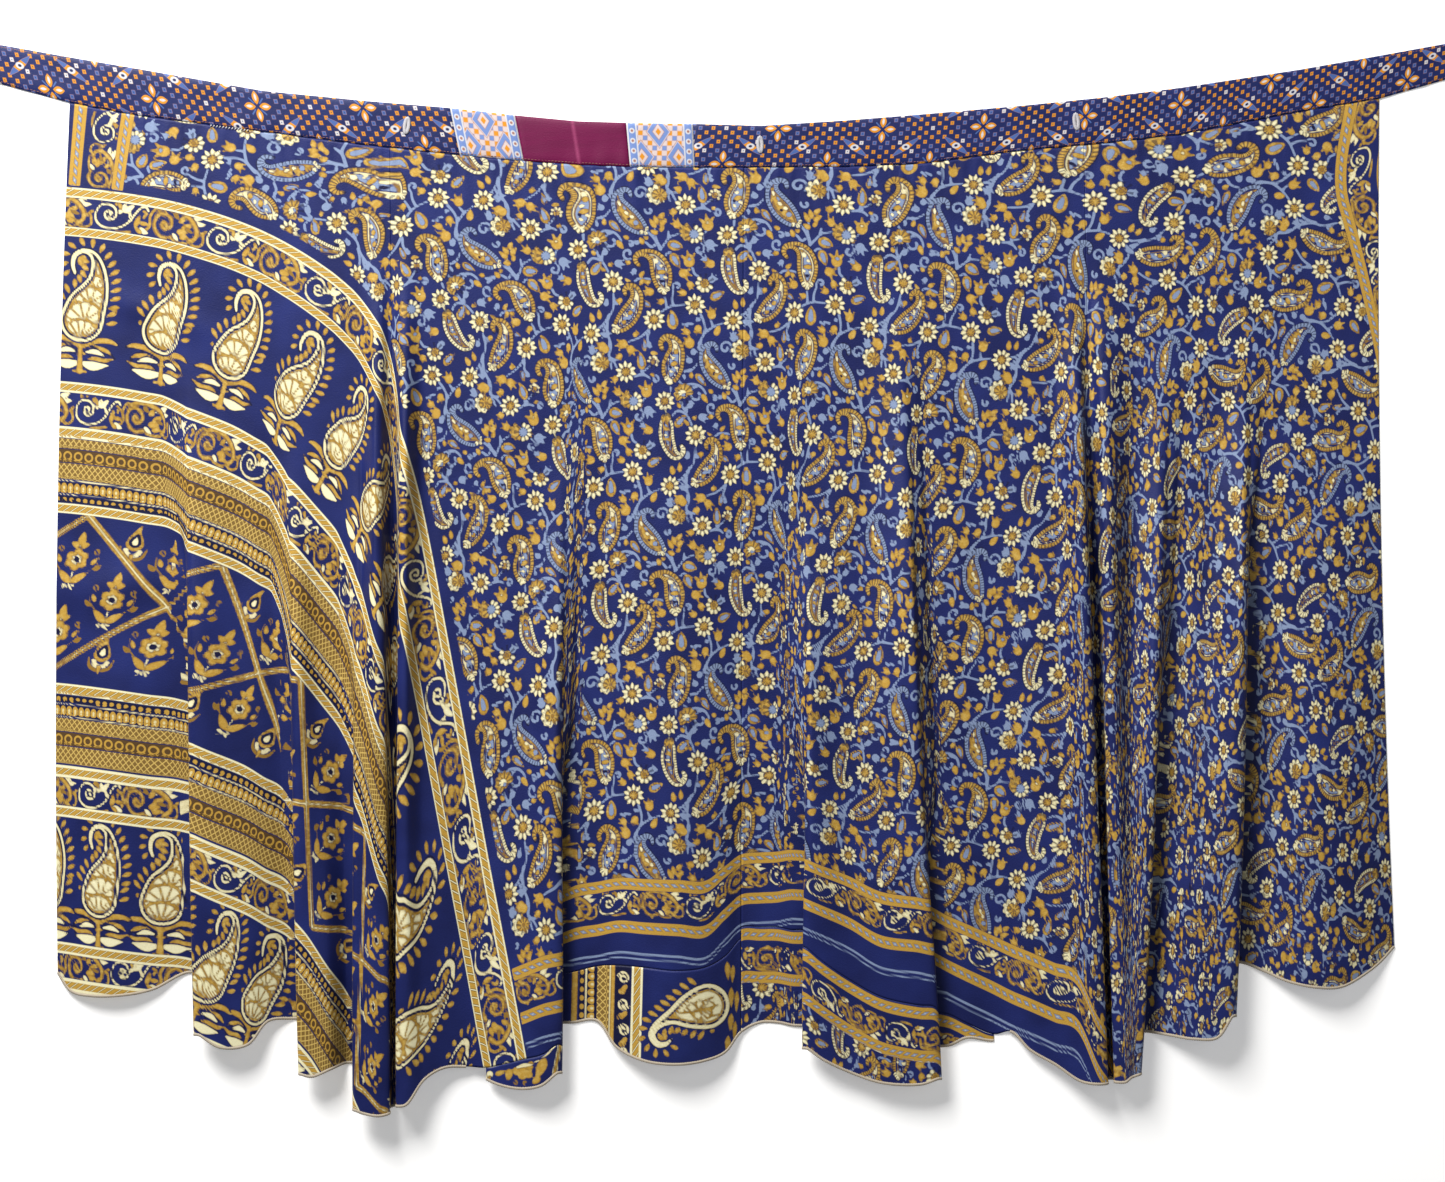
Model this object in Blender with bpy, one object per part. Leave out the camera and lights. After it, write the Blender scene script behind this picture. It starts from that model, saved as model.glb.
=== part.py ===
"""A wrap skirt lying flat on its back, in metres: waistband up the +Y side, front face up.

The cloth is one wall swept from the waist to the hem through named fold columns.
Tables hold millimetres: x across, y up the skirt, height above the surface.
"""

import bpy
import numpy as np

MM = 0.001
CLOTH_WALL = 1.2 * MM
BAND_WALL = 2.6 * MM
SEAM_GAP = 0.3 * MM
ROW_LEVELS = (
    0.0, 0.1, 0.2, 0.28, 0.35, 0.42, 0.48, 0.54, 0.6, 0.65, 0.7, 0.75, 0.8, 0.85, 0.9, 0.95, 1.0
)
STRIP_LEVELS = (0.0, 0.5, 1.0)

# Open columns: (x at the waist, x half way, x at the hem, y at the hem, height, start level)
OPEN_COLUMNS = {
    "side_left": (-641.4, -653.7, -653.2, -436.1, 0, 0.3),
    "left_swell_1": (-627.7, -638.5, -639.4, -453.7, 3, 0.2),
    "left_swell_2": (-608.1, -615.9, -616.9, -457.7, 8, 0.2),
    "left_swell_3": (-586.5, -588.5, -586.5, -456.7, 9, 0.2),
    "left_swell_4": (-569.9, -566.9, -559.1, -451.8, 5, 0.2),
    "left_pipe_1": (-502.2, -474.8, -464, -503.7, 15, 0.2),
    "left_pipe_2": (-476.8, -456.2, -445.4, -482.2, 8, 0.2),
    "second_pipe": (-408.2, -398.4, -382.7, -527.2, 16, 0.3),
    "inner_pipe_1": (-298.4, -296.4, -291.6, -537, 16, 0.15),
    "inner_pipe_2": (-276.9, -275.9, -272.9, -527.2, 10, 0.2),
    "inner_pipe_3": (-253.3, -253.3, -252.3, -527.2, 6, 0.2),
    "strip_start": (-229.8, -230.8, -232.8, -539, 7, 0.2),
    "inner_pipe_4": (-212.2, -214.1, -216.1, -544.9, 10, 0.25),
    "inner_pipe_5": (-188.7, -190.6, -195.5, -546.8, 14, 0.3),
    "hollow_1": (-118.1, -120, -125, -483.1, 1, 0.2),
    "middle_pipe_1": (-98.5, -100.5, -105.3, -507.6, 7, 0.2),
    "middle_pipe_2": (-75, -76, -77.9, -519.4, 15, 0.15),
    "middle_pipe_3": (-43.6, -44.6, -46.5, -522.3, 18, 0.15),
    "middle_pipe_4": (-16.2, -17.1, -19.1, -519.4, 14, 0.15),
    "middle_pipe_5": (3.4, 1.5, 0.5, -512.5, 8, 0.2),
    "middle_seam": (19.1, 17.1, 16.2, -493.9, 2, 0.2),
    "hollow_2": (37.7, 35.8, 34.8, -485.1, 0, 0.2),
    "hollow_3": (53.4, 51.4, 52.4, -485.1, 0, 0.2),
    "fifth_pipe_1": (107.3, 115.1, 125, -532.1, 13, 0.2),
    "fifth_pipe_2": (134.8, 145.5, 154.3, -541, 15, 0.2),
    "hollow_4": (217.1, 227.8, 237.7, -499.8, 1, 0.2),
    "hollow_5": (239.6, 251.4, 264.1, -502.7, 0, 0.2),
    "right_pipe_1": (260.2, 272.9, 280.8, -493.9, 2, 0.2),
    "right_pipe_2": (279.8, 291.6, 298.4, -510.6, 6, 0.2),
    "right_pipe_3": (299.4, 312.1, 322.9, -524.3, 10, 0.2),
    "right_pipe_4": (319, 331.7, 346.4, -539, 16, 0.2),
    "narrow_pipe": (403.3, 398.4, 394.4, -535.1, 19, 0.2),
    "eighth_pipe_1": (471.9, 458.1, 434.6, -495.9, 8, 0.2),
    "eighth_pipe_2": (493.4, 478.7, 456.2, -497.8, 17, 0.2),
    "side_pipe_1": (548.3, 539.5, 527.7, -434.1, 3, 0.2),
    "side_pipe_2": (564, 557.1, 549.3, -443, 10, 0.2),
    "side_pipe_3": (583.6, 580.6, 574.8, -447.9, 15, 0.2),
    "side_pipe_4": (605.1, 603.2, 600.2, -447.9, 13, 0.2),
    "side_pipe_5": (624.8, 624.8, 628.7, -434.1, 7, 0.2),
    "side_pipe_6": (633.6, 634.5, 643.4, -423.4, 3, 0.2),
    "side_right": (641.4, 642.9, 656.1, -410.6, 0, 0.3),
}
# Laps: (x at the waist, x half way, x at the hem, y at the hem of the top, the lip and the
# lower cloth, height, depth, spread, level where it rises, level where it closes, lean)
LAPS = {
    "left_lap": (-543.4, -529.7, -516, -505.7, -493.9, -436.1, 18, 57, 17, 0.22, 0.42, 1),
    "second_lap": (-445.4, -429.7, -414.1, -534.1, -532.1, -481.2, 18, 29, 14, 0.3, 0.52, 1),
    "third_lap": (-372.9, -366, -361.1, -569.4, -566.4, -524.3, 20, 24, 13, 0.3, 0.5, 1),
    "fourth_lap": (-147.5, -151.4, -158.3, -542.9, -531.2, -485.1, 16, 43, 14, 0.3, 0.62, -1),
    "fifth_lap": (74, 74, 76, -518.4, -507.6, -488, 15, 45, 13, 0.35, 0.65, 1),
    "sixth_lap": (177.9, 193.5, 211.2, -541.9, -537, -507.6, 16, 43, 14, 0.1, 0.7, -1),
    "seventh_lap": (448.3, 432.7, 405.2, -534.1, -532.1, -493.9, 18, 18, 14, 0.2, 0.5, -1),
    "eighth_lap": (524.8, 515, 497.3, -495.9, -475.3, -426.3, 20, 43, 15, 0.2, 0.4, -1),
}
# Creases: (x at the waist, x half way, x at the hem, y at the hem left and right,
# height, spread, level where it rises, level where it closes)
CREASES = {
    "left_crease": (-327.8, -323.9, -321.9, -571.3, -560.6, 22, 15, 0.08, 0.3),
    "right_crease": (352.3, 362.1, 375.8, -541, -539, 20, 15, 0.1, 0.22),
}
# Fold columns from the left side to the right.
ORDER = (
    "side_left",
    "left_swell_1",
    "left_swell_2",
    "left_swell_3",
    "left_swell_4",
    "left_lap",
    "left_pipe_1",
    "left_pipe_2",
    "second_lap",
    "second_pipe",
    "third_lap",
    "left_crease",
    "inner_pipe_1",
    "inner_pipe_2",
    "inner_pipe_3",
    "strip_start",
    "inner_pipe_4",
    "inner_pipe_5",
    "fourth_lap",
    "hollow_1",
    "middle_pipe_1",
    "middle_pipe_2",
    "middle_pipe_3",
    "middle_pipe_4",
    "middle_pipe_5",
    "middle_seam",
    "hollow_2",
    "hollow_3",
    "fifth_lap",
    "fifth_pipe_1",
    "fifth_pipe_2",
    "sixth_lap",
    "hollow_4",
    "hollow_5",
    "right_pipe_1",
    "right_pipe_2",
    "right_pipe_3",
    "right_pipe_4",
    "right_crease",
    "narrow_pipe",
    "seventh_lap",
    "eighth_pipe_1",
    "eighth_pipe_2",
    "eighth_lap",
    "side_pipe_1",
    "side_pipe_2",
    "side_pipe_3",
    "side_pipe_4",
    "side_pipe_5",
    "side_pipe_6",
    "side_right",
)
# The seam over each hem strip: (column, y)
HEM_SEAMS = {
    "hem_strip_left": (
        ("strip_start", -528.2),
        ("inner_pipe_4", -524.3),
        ("inner_pipe_5", -518.4),
        ("fourth_lap_top", -513.5),
        ("fourth_lap_lip", -505.7),
        ("fourth_lap_lip_low", -502.7),
        ("fourth_lap_between", -489),
    ),
    "hem_strip_middle": (
        ("fourth_lap_between", -489),
        ("fourth_lap_tuck", -461.6),
        ("fourth_lap_approach", -436.1),
        ("hollow_1", -430.2),
        ("middle_pipe_1", -428.3),
        ("middle_pipe_2", -429.2),
        ("middle_pipe_4", -429.2),
        ("middle_pipe_5", -419.4),
        ("middle_seam", -402.8),
    ),
    "hem_strip_right": (
        ("middle_seam", -392),
        ("hollow_2", -392),
        ("fifth_lap_approach", -394.9),
        ("fifth_lap_tuck", -397.9),
        ("fifth_lap_lip", -408.7),
        ("fifth_lap_top", -422.4),
        ("fifth_pipe_1", -442),
        ("fifth_pipe_2", -457.7),
        ("sixth_lap_top", -465.5),
        ("sixth_lap_lip", -472.4),
        ("sixth_lap_tuck", -473.3),
        ("sixth_lap_approach", -477.3),
        ("hollow_4", -486.1),
        ("hollow_5", -496.9),
    ),
}
# The waistband with its ties: (x, y of the top edge, y of the bottom edge)
BAND_EDGES = (
    (-1241.2, 565.5, 530.2),
    (-974.6, 518.4, 482.2),
    (-710, 472.4, 434.1),
    (-641.4, 460.1, 415.5),
    (-580.6, 449.8, 403.8),
    (-452.3, 427.3, 387.1),
    (-353.3, 417.5, 374.4),
    (-264.1, 410.1, 364.6),
    (-200.4, 402.8, 358.7),
    (-143.6, 397.4, 354.8),
    (-93.6, 395.9, 352.8),
    (-29.9, 394.9, 351.8),
    (35.8, 393, 352.3),
    (121, 398.4, 352.8),
    (193.5, 404.2, 355.7),
    (290.6, 412.6, 368.5),
    (368, 420.4, 375.3),
    (446.4, 430.2, 384.2),
    (563, 447.9, 406.7),
    (641.4, 461.6, 419.4),
    (706.1, 473.3, 438.1),
    (973.6, 522.3, 487.1),
    (1241.2, 571.3, 536.1),
)
# Where each length of the band ends: (x at the top edge, x at the bottom edge)
BAND_CUTS = {
    "band_left": (-269, -259.2),
    "lattice_left": (-205.3, -196.5),
    "band_middle": (-96.5, -92.6),
    "lattice_right": (-30.9, -28.9),
}

# Each lap is a row of columns, given for the lap leaning right over left:
# (name, place when flat in spreads, place when closed in depths, height share, level)
LAP_SHAPE = (
    ("approach", -1.0, None, 0.02, "low"),
    ("under", -0.72, 0.45, 0.03, "low"),
    ("tuck_low", -0.5, 0.86, 0.07, "low"),
    ("tuck", -0.3, 1.0, 0.22, "low_third"),
    ("tuck_high", -0.1, 0.86, 0.38, "half"),
    ("between", 0.1, 0.46, 0.5, "high_third"),
    ("lip_low", 0.3, 0.1, 0.62, "lip"),
    ("lip", 0.48, 0.0, 0.82, "lip"),
    ("lip_high", 0.68, 0.1, 0.97, "lip"),
    ("top", 1.0, 0.45, 1.0, "top"),
)
LEVEL_SHARES = {"low": 0.0, "low_third": 0.3, "half": 0.5, "high_third": 0.7, "lip": 1.0}
APPROACH_CLOSED = -0.6

# A crease: (name, place when flat in spreads, place when closed in mm, height share)
CREASE_SHAPE = (
    ("left_top", -1.0, -13.0, 1.0),
    ("left_lip", -0.66, -3.4, 0.88),
    ("left_wall", -0.42, -5.4, 0.46),
    ("left_foot", -0.22, -4.6, 0.1),
    ("bottom", 0.0, 0.0, 0.03),
    ("right_foot", 0.22, 4.6, 0.1),
    ("right_wall", 0.42, 5.4, 0.46),
    ("right_lip", 0.66, 3.4, 0.88),
    ("right_top", 1.0, 13.0, 1.0),
)

# Each panel's first and last column, and the hem strips sewn to it.
PANELS = {
    "skirt_left": ("side_left", "left_crease_bottom", ()),
    "skirt_centre_left": (
        "left_crease_bottom",
        "middle_seam",
        ("hem_strip_left", "hem_strip_middle"),
    ),
    "skirt_centre_right": ("middle_seam", "right_crease_bottom", ("hem_strip_right",)),
    "skirt_right": ("right_crease_bottom", "side_right", ()),
}
# Whether each hem strip is joined to a neighbour at its left and right ends.
STRIP_JOINS = {
    "hem_strip_left": (0, 1),
    "hem_strip_middle": (1, 1),
    "hem_strip_right": (1, 0),
}
COLOURS = {
    "skirt": (0.024, 0.035, 0.21, 1.0),
    "hem": (0.028, 0.042, 0.24, 1.0),
    "band": (0.014, 0.018, 0.12, 1.0),
    "lattice": (0.28, 0.35, 0.68, 1.0),
    "band_middle": (0.17, 0.014, 0.08, 1.0),
}


def remove_startup_objects():
    for obj in list(bpy.data.objects):
        bpy.data.objects.remove(obj)


def waist_y(x):
    edges = np.array(BAND_EDGES)
    return np.interp(x, edges[:, 0], edges[:, 2])


def smooth(value):
    value = np.clip(value, 0.0, 1.0)
    return value * value * (3.0 - 2.0 * value)


def lap_columns(name, row):
    x_waist, x_mid, x_hem, y_top, y_lip, y_low, height, depth, spread, start, close, lean = row
    columns = []
    for part, flat, closed, share, level in LAP_SHAPE:
        closed_mm = APPROACH_CLOSED * spread if closed is None else closed * depth
        y_hem = y_top if level == "top" else y_low + LEVEL_SHARES[level] * (y_lip - y_low)
        columns.append(
            {
                "name": f"{name}_{part}",
                "base": (x_waist, x_mid, x_hem),
                "flat": lean * flat * spread,
                "closed": lean * closed_mm,
                "y_hem": y_hem,
                "height": share * height,
                "start": start,
                "full": start + 0.5 * (1.0 - start),
                "close": close,
            }
        )
    return columns if lean > 0 else columns[::-1]


def crease_columns(name, row):
    x_waist, x_mid, x_hem, y_left, y_right, height, spread, start, close = row
    columns = []
    for part, flat, closed, share in CREASE_SHAPE:
        across = 0.5 + 0.5 * flat
        columns.append(
            {
                "name": f"{name}_{part}",
                "base": (x_waist, x_mid, x_hem),
                "flat": flat * spread,
                "closed": closed,
                "y_hem": y_left + across * (y_right - y_left),
                "height": share * height,
                "start": start,
                "full": start + 0.4 * (1.0 - start),
                "close": close,
            }
        )
    return columns


def open_column(name, row):
    x_waist, x_mid, x_hem, y_hem, height, start = row
    return {
        "name": name,
        "base": (x_waist, x_mid, x_hem),
        "flat": 0.0,
        "closed": 0.0,
        "y_hem": y_hem,
        "height": height,
        "start": start,
        "full": 1.0,
        "close": 1.0,
    }


def all_columns():
    columns = []
    for name in ORDER:
        if name in LAPS:
            columns += lap_columns(name, LAPS[name])
        elif name in CREASES:
            columns += crease_columns(name, CREASES[name])
        else:
            columns.append(open_column(name, OPEN_COLUMNS[name]))
    return columns


class Cloth:
    """The middle surface of the wall: a point for each column and level from waist to hem."""

    def __init__(self, columns):
        self.names = [column["name"] for column in columns]
        waist, mid, hem = np.array([column["base"] for column in columns]).T
        self.x0 = waist
        self.x2 = 2.0 * (hem + waist - 2.0 * mid)
        self.x1 = hem - waist - self.x2
        for key in ("flat", "closed", "y_hem", "height", "start", "full", "close"):
            setattr(self, key, np.array([column[key] for column in columns]))
        self.y_waist = waist_y(self.x0 + self.flat)
        self.length = self.y_waist - self.y_hem

    def points(self, rows, level):
        """Points in mm of the given columns, at an array of levels with one row a column."""
        take = [np.asarray(value)[rows][:, None] for value in (self.x0, self.x1, self.x2)]
        flat, closed = self.flat[rows][:, None], self.closed[rows][:, None]
        start, full = self.start[rows][:, None], self.full[rows][:, None]
        close = self.close[rows][:, None]
        shut = smooth((level - close) / np.maximum(1.0 - close, 1e-6)) ** 0.7
        risen = smooth((level - start) / (full - start))
        x = take[0] + take[1] * level + take[2] * level**2
        x = x + flat * (1.0 - shut) + closed * shut
        y = self.y_waist[rows][:, None] - self.length[rows][:, None] * level
        z = 0.5 * CLOTH_WALL / MM + self.height[rows][:, None] * risen
        return np.stack([x, y, z], axis=2)

    def directions(self, rows, level):
        """Unit tangents across and down the cloth, and its normal, at those points."""
        after = np.minimum(rows + 1, len(self.names) - 1)
        before = np.maximum(rows - 1, 0)
        across = self.points(after, level) - self.points(before, level)
        down = self.points(rows, np.minimum(level + 0.01, 1.0))
        down = down - self.points(rows, np.maximum(level - 0.01, 0.0))
        across /= np.linalg.norm(across, axis=2, keepdims=True)
        down /= np.linalg.norm(down, axis=2, keepdims=True)
        normal = np.cross(down, across)
        normal /= np.linalg.norm(normal, axis=2, keepdims=True)
        return across, down, normal


def strip_levels(cloth, points):
    """The columns of a hem strip, and the level of the seam at each."""
    at = [cloth.names.index(column) for column, _ in points]
    share = [(cloth.y_waist[i] - y) / cloth.length[i] for i, (_, y) in zip(at, points, strict=True)]
    rows = np.arange(at[0], at[-1] + 1)
    return rows, np.interp(rows, at, share)


def wall_mesh(name, points, normal, thickness, colour):
    """A closed wall about a grid of middle points."""
    front = points + 0.5 * thickness * normal
    back = points - 0.5 * thickness * normal
    columns, rows = points.shape[:2]
    index = np.arange(columns * rows).reshape(columns, rows)
    shift = columns * rows
    a, b, c, d = index[:-1, :-1], index[:-1, 1:], index[1:, 1:], index[1:, :-1]
    triangles = [(a, b, c), (a, c, d)]
    triangles += [(a + shift, c + shift, b + shift), (a + shift, d + shift, c + shift)]
    # Rims that meet across a seam share the diagonal of each of their faces.
    for first, second in ((index[:-1, 0], index[1:, 0]), (index[-1, :-1], index[-1, 1:])):
        triangles += [(first, second, second + shift), (first, second + shift, first + shift)]
    for first, second in ((index[1:, -1], index[:-1, -1]), (index[0, 1:], index[0, :-1])):
        triangles += [(first, second, first + shift), (second, second + shift, first + shift)]
    faces = np.concatenate([np.stack(corners, -1).reshape(-1, 3) for corners in triangles])
    corners = np.concatenate([front.reshape(-1, 3), back.reshape(-1, 3)]) * MM
    mesh = bpy.data.meshes.new(name)
    mesh.from_pydata(corners.tolist(), [], faces.tolist())
    mesh.validate()
    mesh.materials.append(cloth_material(name, colour))
    obj = bpy.data.objects.new(name, mesh)
    bpy.context.scene.collection.objects.link(obj)


def cloth_material(name, colour):
    material = bpy.data.materials.new(name)
    material.use_nodes = True
    shader = material.node_tree.nodes["Principled BSDF"]
    shader.inputs["Base Color"].default_value = colour
    shader.inputs["Roughness"].default_value = 0.45
    return material


def cloth_piece(cloth, name, rows, begin, end, levels, joined, colour):
    """One piece of cloth, kept half a seam gap back from a neighbour it is joined to."""
    level = begin[:, None] + np.array(levels) * (end - begin)[:, None]
    points = cloth.points(rows, level)
    across, _, normal = cloth.directions(rows, level)
    inset = 0.5 * SEAM_GAP / MM
    points[0] += joined[0] * inset * across[0]
    points[-1] -= joined[1] * inset * across[-1]
    return wall_mesh(name, points, normal, CLOTH_WALL / MM, colour)


def build_skirt():
    cloth = Cloth(all_columns())
    inset = 0.5 * SEAM_GAP / MM / cloth.length
    for name, (first, last, strips) in PANELS.items():
        rows = np.arange(cloth.names.index(first), cloth.names.index(last) + 1)
        end = np.ones(len(rows))
        for strip in strips:
            strip_rows, seam = strip_levels(cloth, HEM_SEAMS[strip])
            end[strip_rows - rows[0]] = seam - inset[strip_rows]
            joined = STRIP_JOINS[strip]
            begin = seam + inset[strip_rows]
            hem = np.ones(len(strip_rows))
            cloth_piece(cloth, strip, strip_rows, begin, hem, STRIP_LEVELS, joined, COLOURS["hem"])
        joined = (first != "side_left", last != "side_right")
        cloth_piece(cloth, name, rows, inset[rows], end, ROW_LEVELS, joined, COLOURS["skirt"])


def band_piece(name, left, right, colour):
    """A length of waistband between two cuts, each (x at the top edge, x at the bottom edge)."""
    edges = np.array(BAND_EDGES)
    inside = edges[(edges[:, 0] > max(left) + 8.0) & (edges[:, 0] < min(right) - 8.0), 0]
    top_x = np.concatenate([[left[0]], inside, [right[0]]])
    bottom_x = np.concatenate([[left[1]], inside, [right[1]]])
    top = np.stack([top_x, np.interp(top_x, edges[:, 0], edges[:, 1])], axis=1)
    bottom = np.stack([bottom_x, np.interp(bottom_x, edges[:, 0], edges[:, 2])], axis=1)
    points = np.zeros((len(top_x), 2, 3))
    points[:, 0, :2] = top
    points[:, 1, :2] = bottom
    points[:, 1, 1] += 0.5 * SEAM_GAP / MM
    points[:, :, 2] = 0.5 * BAND_WALL / MM
    normal = np.zeros_like(points)
    normal[:, :, 2] = 1.0
    return wall_mesh(name, points, normal, BAND_WALL / MM, colour)


def build_band():
    gap = 0.5 * SEAM_GAP / MM
    left = (BAND_EDGES[0][0], BAND_EDGES[0][0])
    for name, cut in BAND_CUTS.items():
        right = (cut[0] - gap, cut[1] - gap)
        colour = "lattice" if name.startswith("lattice") else name
        band_piece(name, left, right, COLOURS.get(colour, COLOURS["band"]))
        left = (cut[0] + gap, cut[1] + gap)
    end = BAND_EDGES[-1][0]
    band_piece("band_right", left, (end, end), COLOURS["band"])


remove_startup_objects()
build_skirt()
build_band()
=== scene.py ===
import math
from functools import partialmethod
import bpy
import mathutils
import numpy as np
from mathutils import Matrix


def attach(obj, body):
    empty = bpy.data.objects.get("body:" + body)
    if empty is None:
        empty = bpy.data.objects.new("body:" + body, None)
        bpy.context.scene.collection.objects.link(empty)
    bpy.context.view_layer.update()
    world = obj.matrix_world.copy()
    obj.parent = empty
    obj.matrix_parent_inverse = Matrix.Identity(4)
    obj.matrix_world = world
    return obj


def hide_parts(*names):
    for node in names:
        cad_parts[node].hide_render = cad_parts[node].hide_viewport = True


# A wrap skirt of printed crepe, lying flat on its back with its front up and its waistband
# up the +Y side. Tables hold millimetres: x across, y up the skirt, height above the surface.
# Print charts hold photo pixels of the cloth, at pixelMm each.
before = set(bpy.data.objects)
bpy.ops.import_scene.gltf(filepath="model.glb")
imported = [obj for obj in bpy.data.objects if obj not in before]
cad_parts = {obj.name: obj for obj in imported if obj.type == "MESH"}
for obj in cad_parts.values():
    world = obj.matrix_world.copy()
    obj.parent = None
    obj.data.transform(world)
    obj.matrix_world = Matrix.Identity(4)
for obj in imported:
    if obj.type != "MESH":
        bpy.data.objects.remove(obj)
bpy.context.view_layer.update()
scene = bpy.context.scene
mm = 0.001
pixelMm = 0.98
photoMiddle = (724.5, 527)  # the pixel at the skirt's origin
clothWall = 1.2  # the solid's wall, whose middle surface the cloth lies on
clothLength = 900  # about its length from waist to hem
# Open columns: (x at the waist, half way and at the hem, y at the hem, height, and the
# level where it rises, if that isn't usualStart)
usualStart = 0.2
openFolds = {
    "side_left": (-641.4, -653.7, -653.2, -436.1, 0, 0.3),
    "left_swell_1": (-627.7, -638.5, -639.4, -453.7, 3),
    "left_swell_2": (-608.1, -615.9, -616.9, -457.7, 8),
    "left_swell_3": (-586.5, -588.5, -586.5, -456.7, 9),
    "left_swell_4": (-569.9, -566.9, -559.1, -451.8, 5),
    "left_pipe_1": (-502.2, -474.8, -464, -503.7, 15),
    "left_pipe_2": (-476.8, -456.2, -445.4, -482.2, 8),
    "second_pipe": (-408.2, -398.4, -382.7, -527.2, 16, 0.3),
    "inner_pipe_1": (-298.4, -296.4, -291.6, -537, 16, 0.15),
    "inner_pipe_2": (-276.9, -275.9, -272.9, -527.2, 10),
    "inner_pipe_3": (-253.3, -253.3, -252.3, -527.2, 6),
    "strip_start": (-229.8, -230.8, -232.8, -539, 7),
    "inner_pipe_4": (-212.2, -214.1, -216.1, -544.9, 10, 0.25),
    "inner_pipe_5": (-188.7, -190.6, -195.5, -546.8, 14, 0.3),
    "hollow_1": (-118.1, -120, -125, -483.1, 1),
    "middle_pipe_1": (-98.5, -100.5, -105.3, -507.6, 7),
    "middle_pipe_2": (-75, -76, -77.9, -519.4, 15, 0.15),
    "middle_pipe_3": (-43.6, -44.6, -46.5, -522.3, 18, 0.15),
    "middle_pipe_4": (-16.2, -17.1, -19.1, -519.4, 14, 0.15),
    "middle_pipe_5": (3.4, 1.5, 0.5, -512.5, 8),
    "middle_seam": (19.1, 17.1, 16.2, -493.9, 2),
    "hollow_2": (37.7, 35.8, 34.8, -485.1, 0),
    "hollow_3": (53.4, 51.4, 52.4, -485.1, 0),
    "fifth_pipe_1": (107.3, 115.1, 125, -532.1, 13),
    "fifth_pipe_2": (134.8, 145.5, 154.3, -541, 15),
    "hollow_4": (217.1, 227.8, 237.7, -499.8, 1),
    "hollow_5": (239.6, 251.4, 264.1, -502.7, 0),
    "right_pipe_1": (260.2, 272.9, 280.8, -493.9, 2),
    "right_pipe_2": (279.8, 291.6, 298.4, -510.6, 6),
    "right_pipe_3": (299.4, 312.1, 322.9, -524.3, 10),
    "right_pipe_4": (319, 331.7, 346.4, -539, 16),
    "narrow_pipe": (403.3, 398.4, 394.4, -535.1, 19),
    "eighth_pipe_1": (471.9, 458.1, 434.6, -495.9, 8),
    "eighth_pipe_2": (493.4, 478.7, 456.2, -497.8, 17),
    "side_pipe_1": (548.3, 539.5, 527.7, -434.1, 3),
    "side_pipe_2": (564, 557.1, 549.3, -443, 10),
    "side_pipe_3": (583.6, 580.6, 574.8, -447.9, 15),
    "side_pipe_4": (605.1, 603.2, 600.2, -447.9, 13),
    "side_pipe_5": (624.8, 624.8, 628.7, -434.1, 7),
    "side_pipe_6": (633.6, 634.5, 643.4, -423.4, 3),
    "side_right": (641.4, 642.9, 656.1, -410.6, 0, 0.3),
}
# Laps: (x at the waist, half way and at the hem, y at the hem of the top, the lip and the
# lower cloth, height, depth, spread, level where it rises and where it closes, lean)
lapFolds = {
    "left_lap": (-543.4, -529.7, -516, -505.7, -493.9, -436.1, 18, 57, 17, 0.22, 0.42, 1),
    "second_lap": (-445.4, -429.7, -414.1, -534.1, -532.1, -481.2, 18, 29, 14, 0.3, 0.52, 1),
    "third_lap": (-372.9, -366, -361.1, -569.4, -566.4, -524.3, 20, 24, 13, 0.3, 0.5, 1),
    "fourth_lap": (-147.5, -151.4, -158.3, -542.9, -531.2, -485.1, 16, 43, 14, 0.3, 0.62, -1),
    "fifth_lap": (74, 74, 76, -518.4, -507.6, -488, 15, 45, 13, 0.35, 0.65, 1),
    "sixth_lap": (177.9, 193.5, 211.2, -541.9, -537, -507.6, 16, 43, 14, 0.1, 0.7, -1),
    "seventh_lap": (448.3, 432.7, 405.2, -534.1, -532.1, -493.9, 18, 18, 14, 0.2, 0.5, -1),
    "eighth_lap": (524.8, 515, 497.3, -495.9, -475.3, -426.3, 20, 43, 15, 0.2, 0.4, -1),
}
# Creases: (x at the waist, half way and at the hem, y at the hem left and right, height,
# spread, level where it rises and where it closes)
creaseFolds = {
    "left_crease": (-327.8, -323.9, -321.9, -571.3, -560.6, 22, 15, 0.08, 0.3),
    "right_crease": (352.3, 362.1, 375.8, -541, -539, 20, 15, 0.1, 0.22),
}
# The seam over each hem strip: (column, y)
hemSeams = {
    "hem_strip_left": (
        ("strip_start", -528.2), ("inner_pipe_4", -524.3), ("inner_pipe_5", -518.4),
        ("fourth_lap_top", -513.5), ("fourth_lap_lip", -505.7), ("fourth_lap_lip_low", -502.7),
        ("fourth_lap_between", -489),
    ),
    "hem_strip_middle": (
        ("fourth_lap_between", -489), ("fourth_lap_tuck", -461.6), ("fourth_lap_approach", -436.1),
        ("hollow_1", -430.2), ("middle_pipe_1", -428.3), ("middle_pipe_2", -429.2),
        ("middle_pipe_4", -429.2), ("middle_pipe_5", -419.4), ("middle_seam", -402.8),
    ),
    "hem_strip_right": (
        ("middle_seam", -392), ("hollow_2", -392), ("fifth_lap_approach", -394.9),
        ("fifth_lap_tuck", -397.9), ("fifth_lap_lip", -408.7), ("fifth_lap_top", -422.4),
        ("fifth_pipe_1", -442), ("fifth_pipe_2", -457.7), ("sixth_lap_top", -465.5),
        ("sixth_lap_lip", -472.4), ("sixth_lap_tuck", -473.3), ("sixth_lap_approach", -477.3),
        ("hollow_4", -486.1), ("hollow_5", -496.9),
    ),
}
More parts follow.
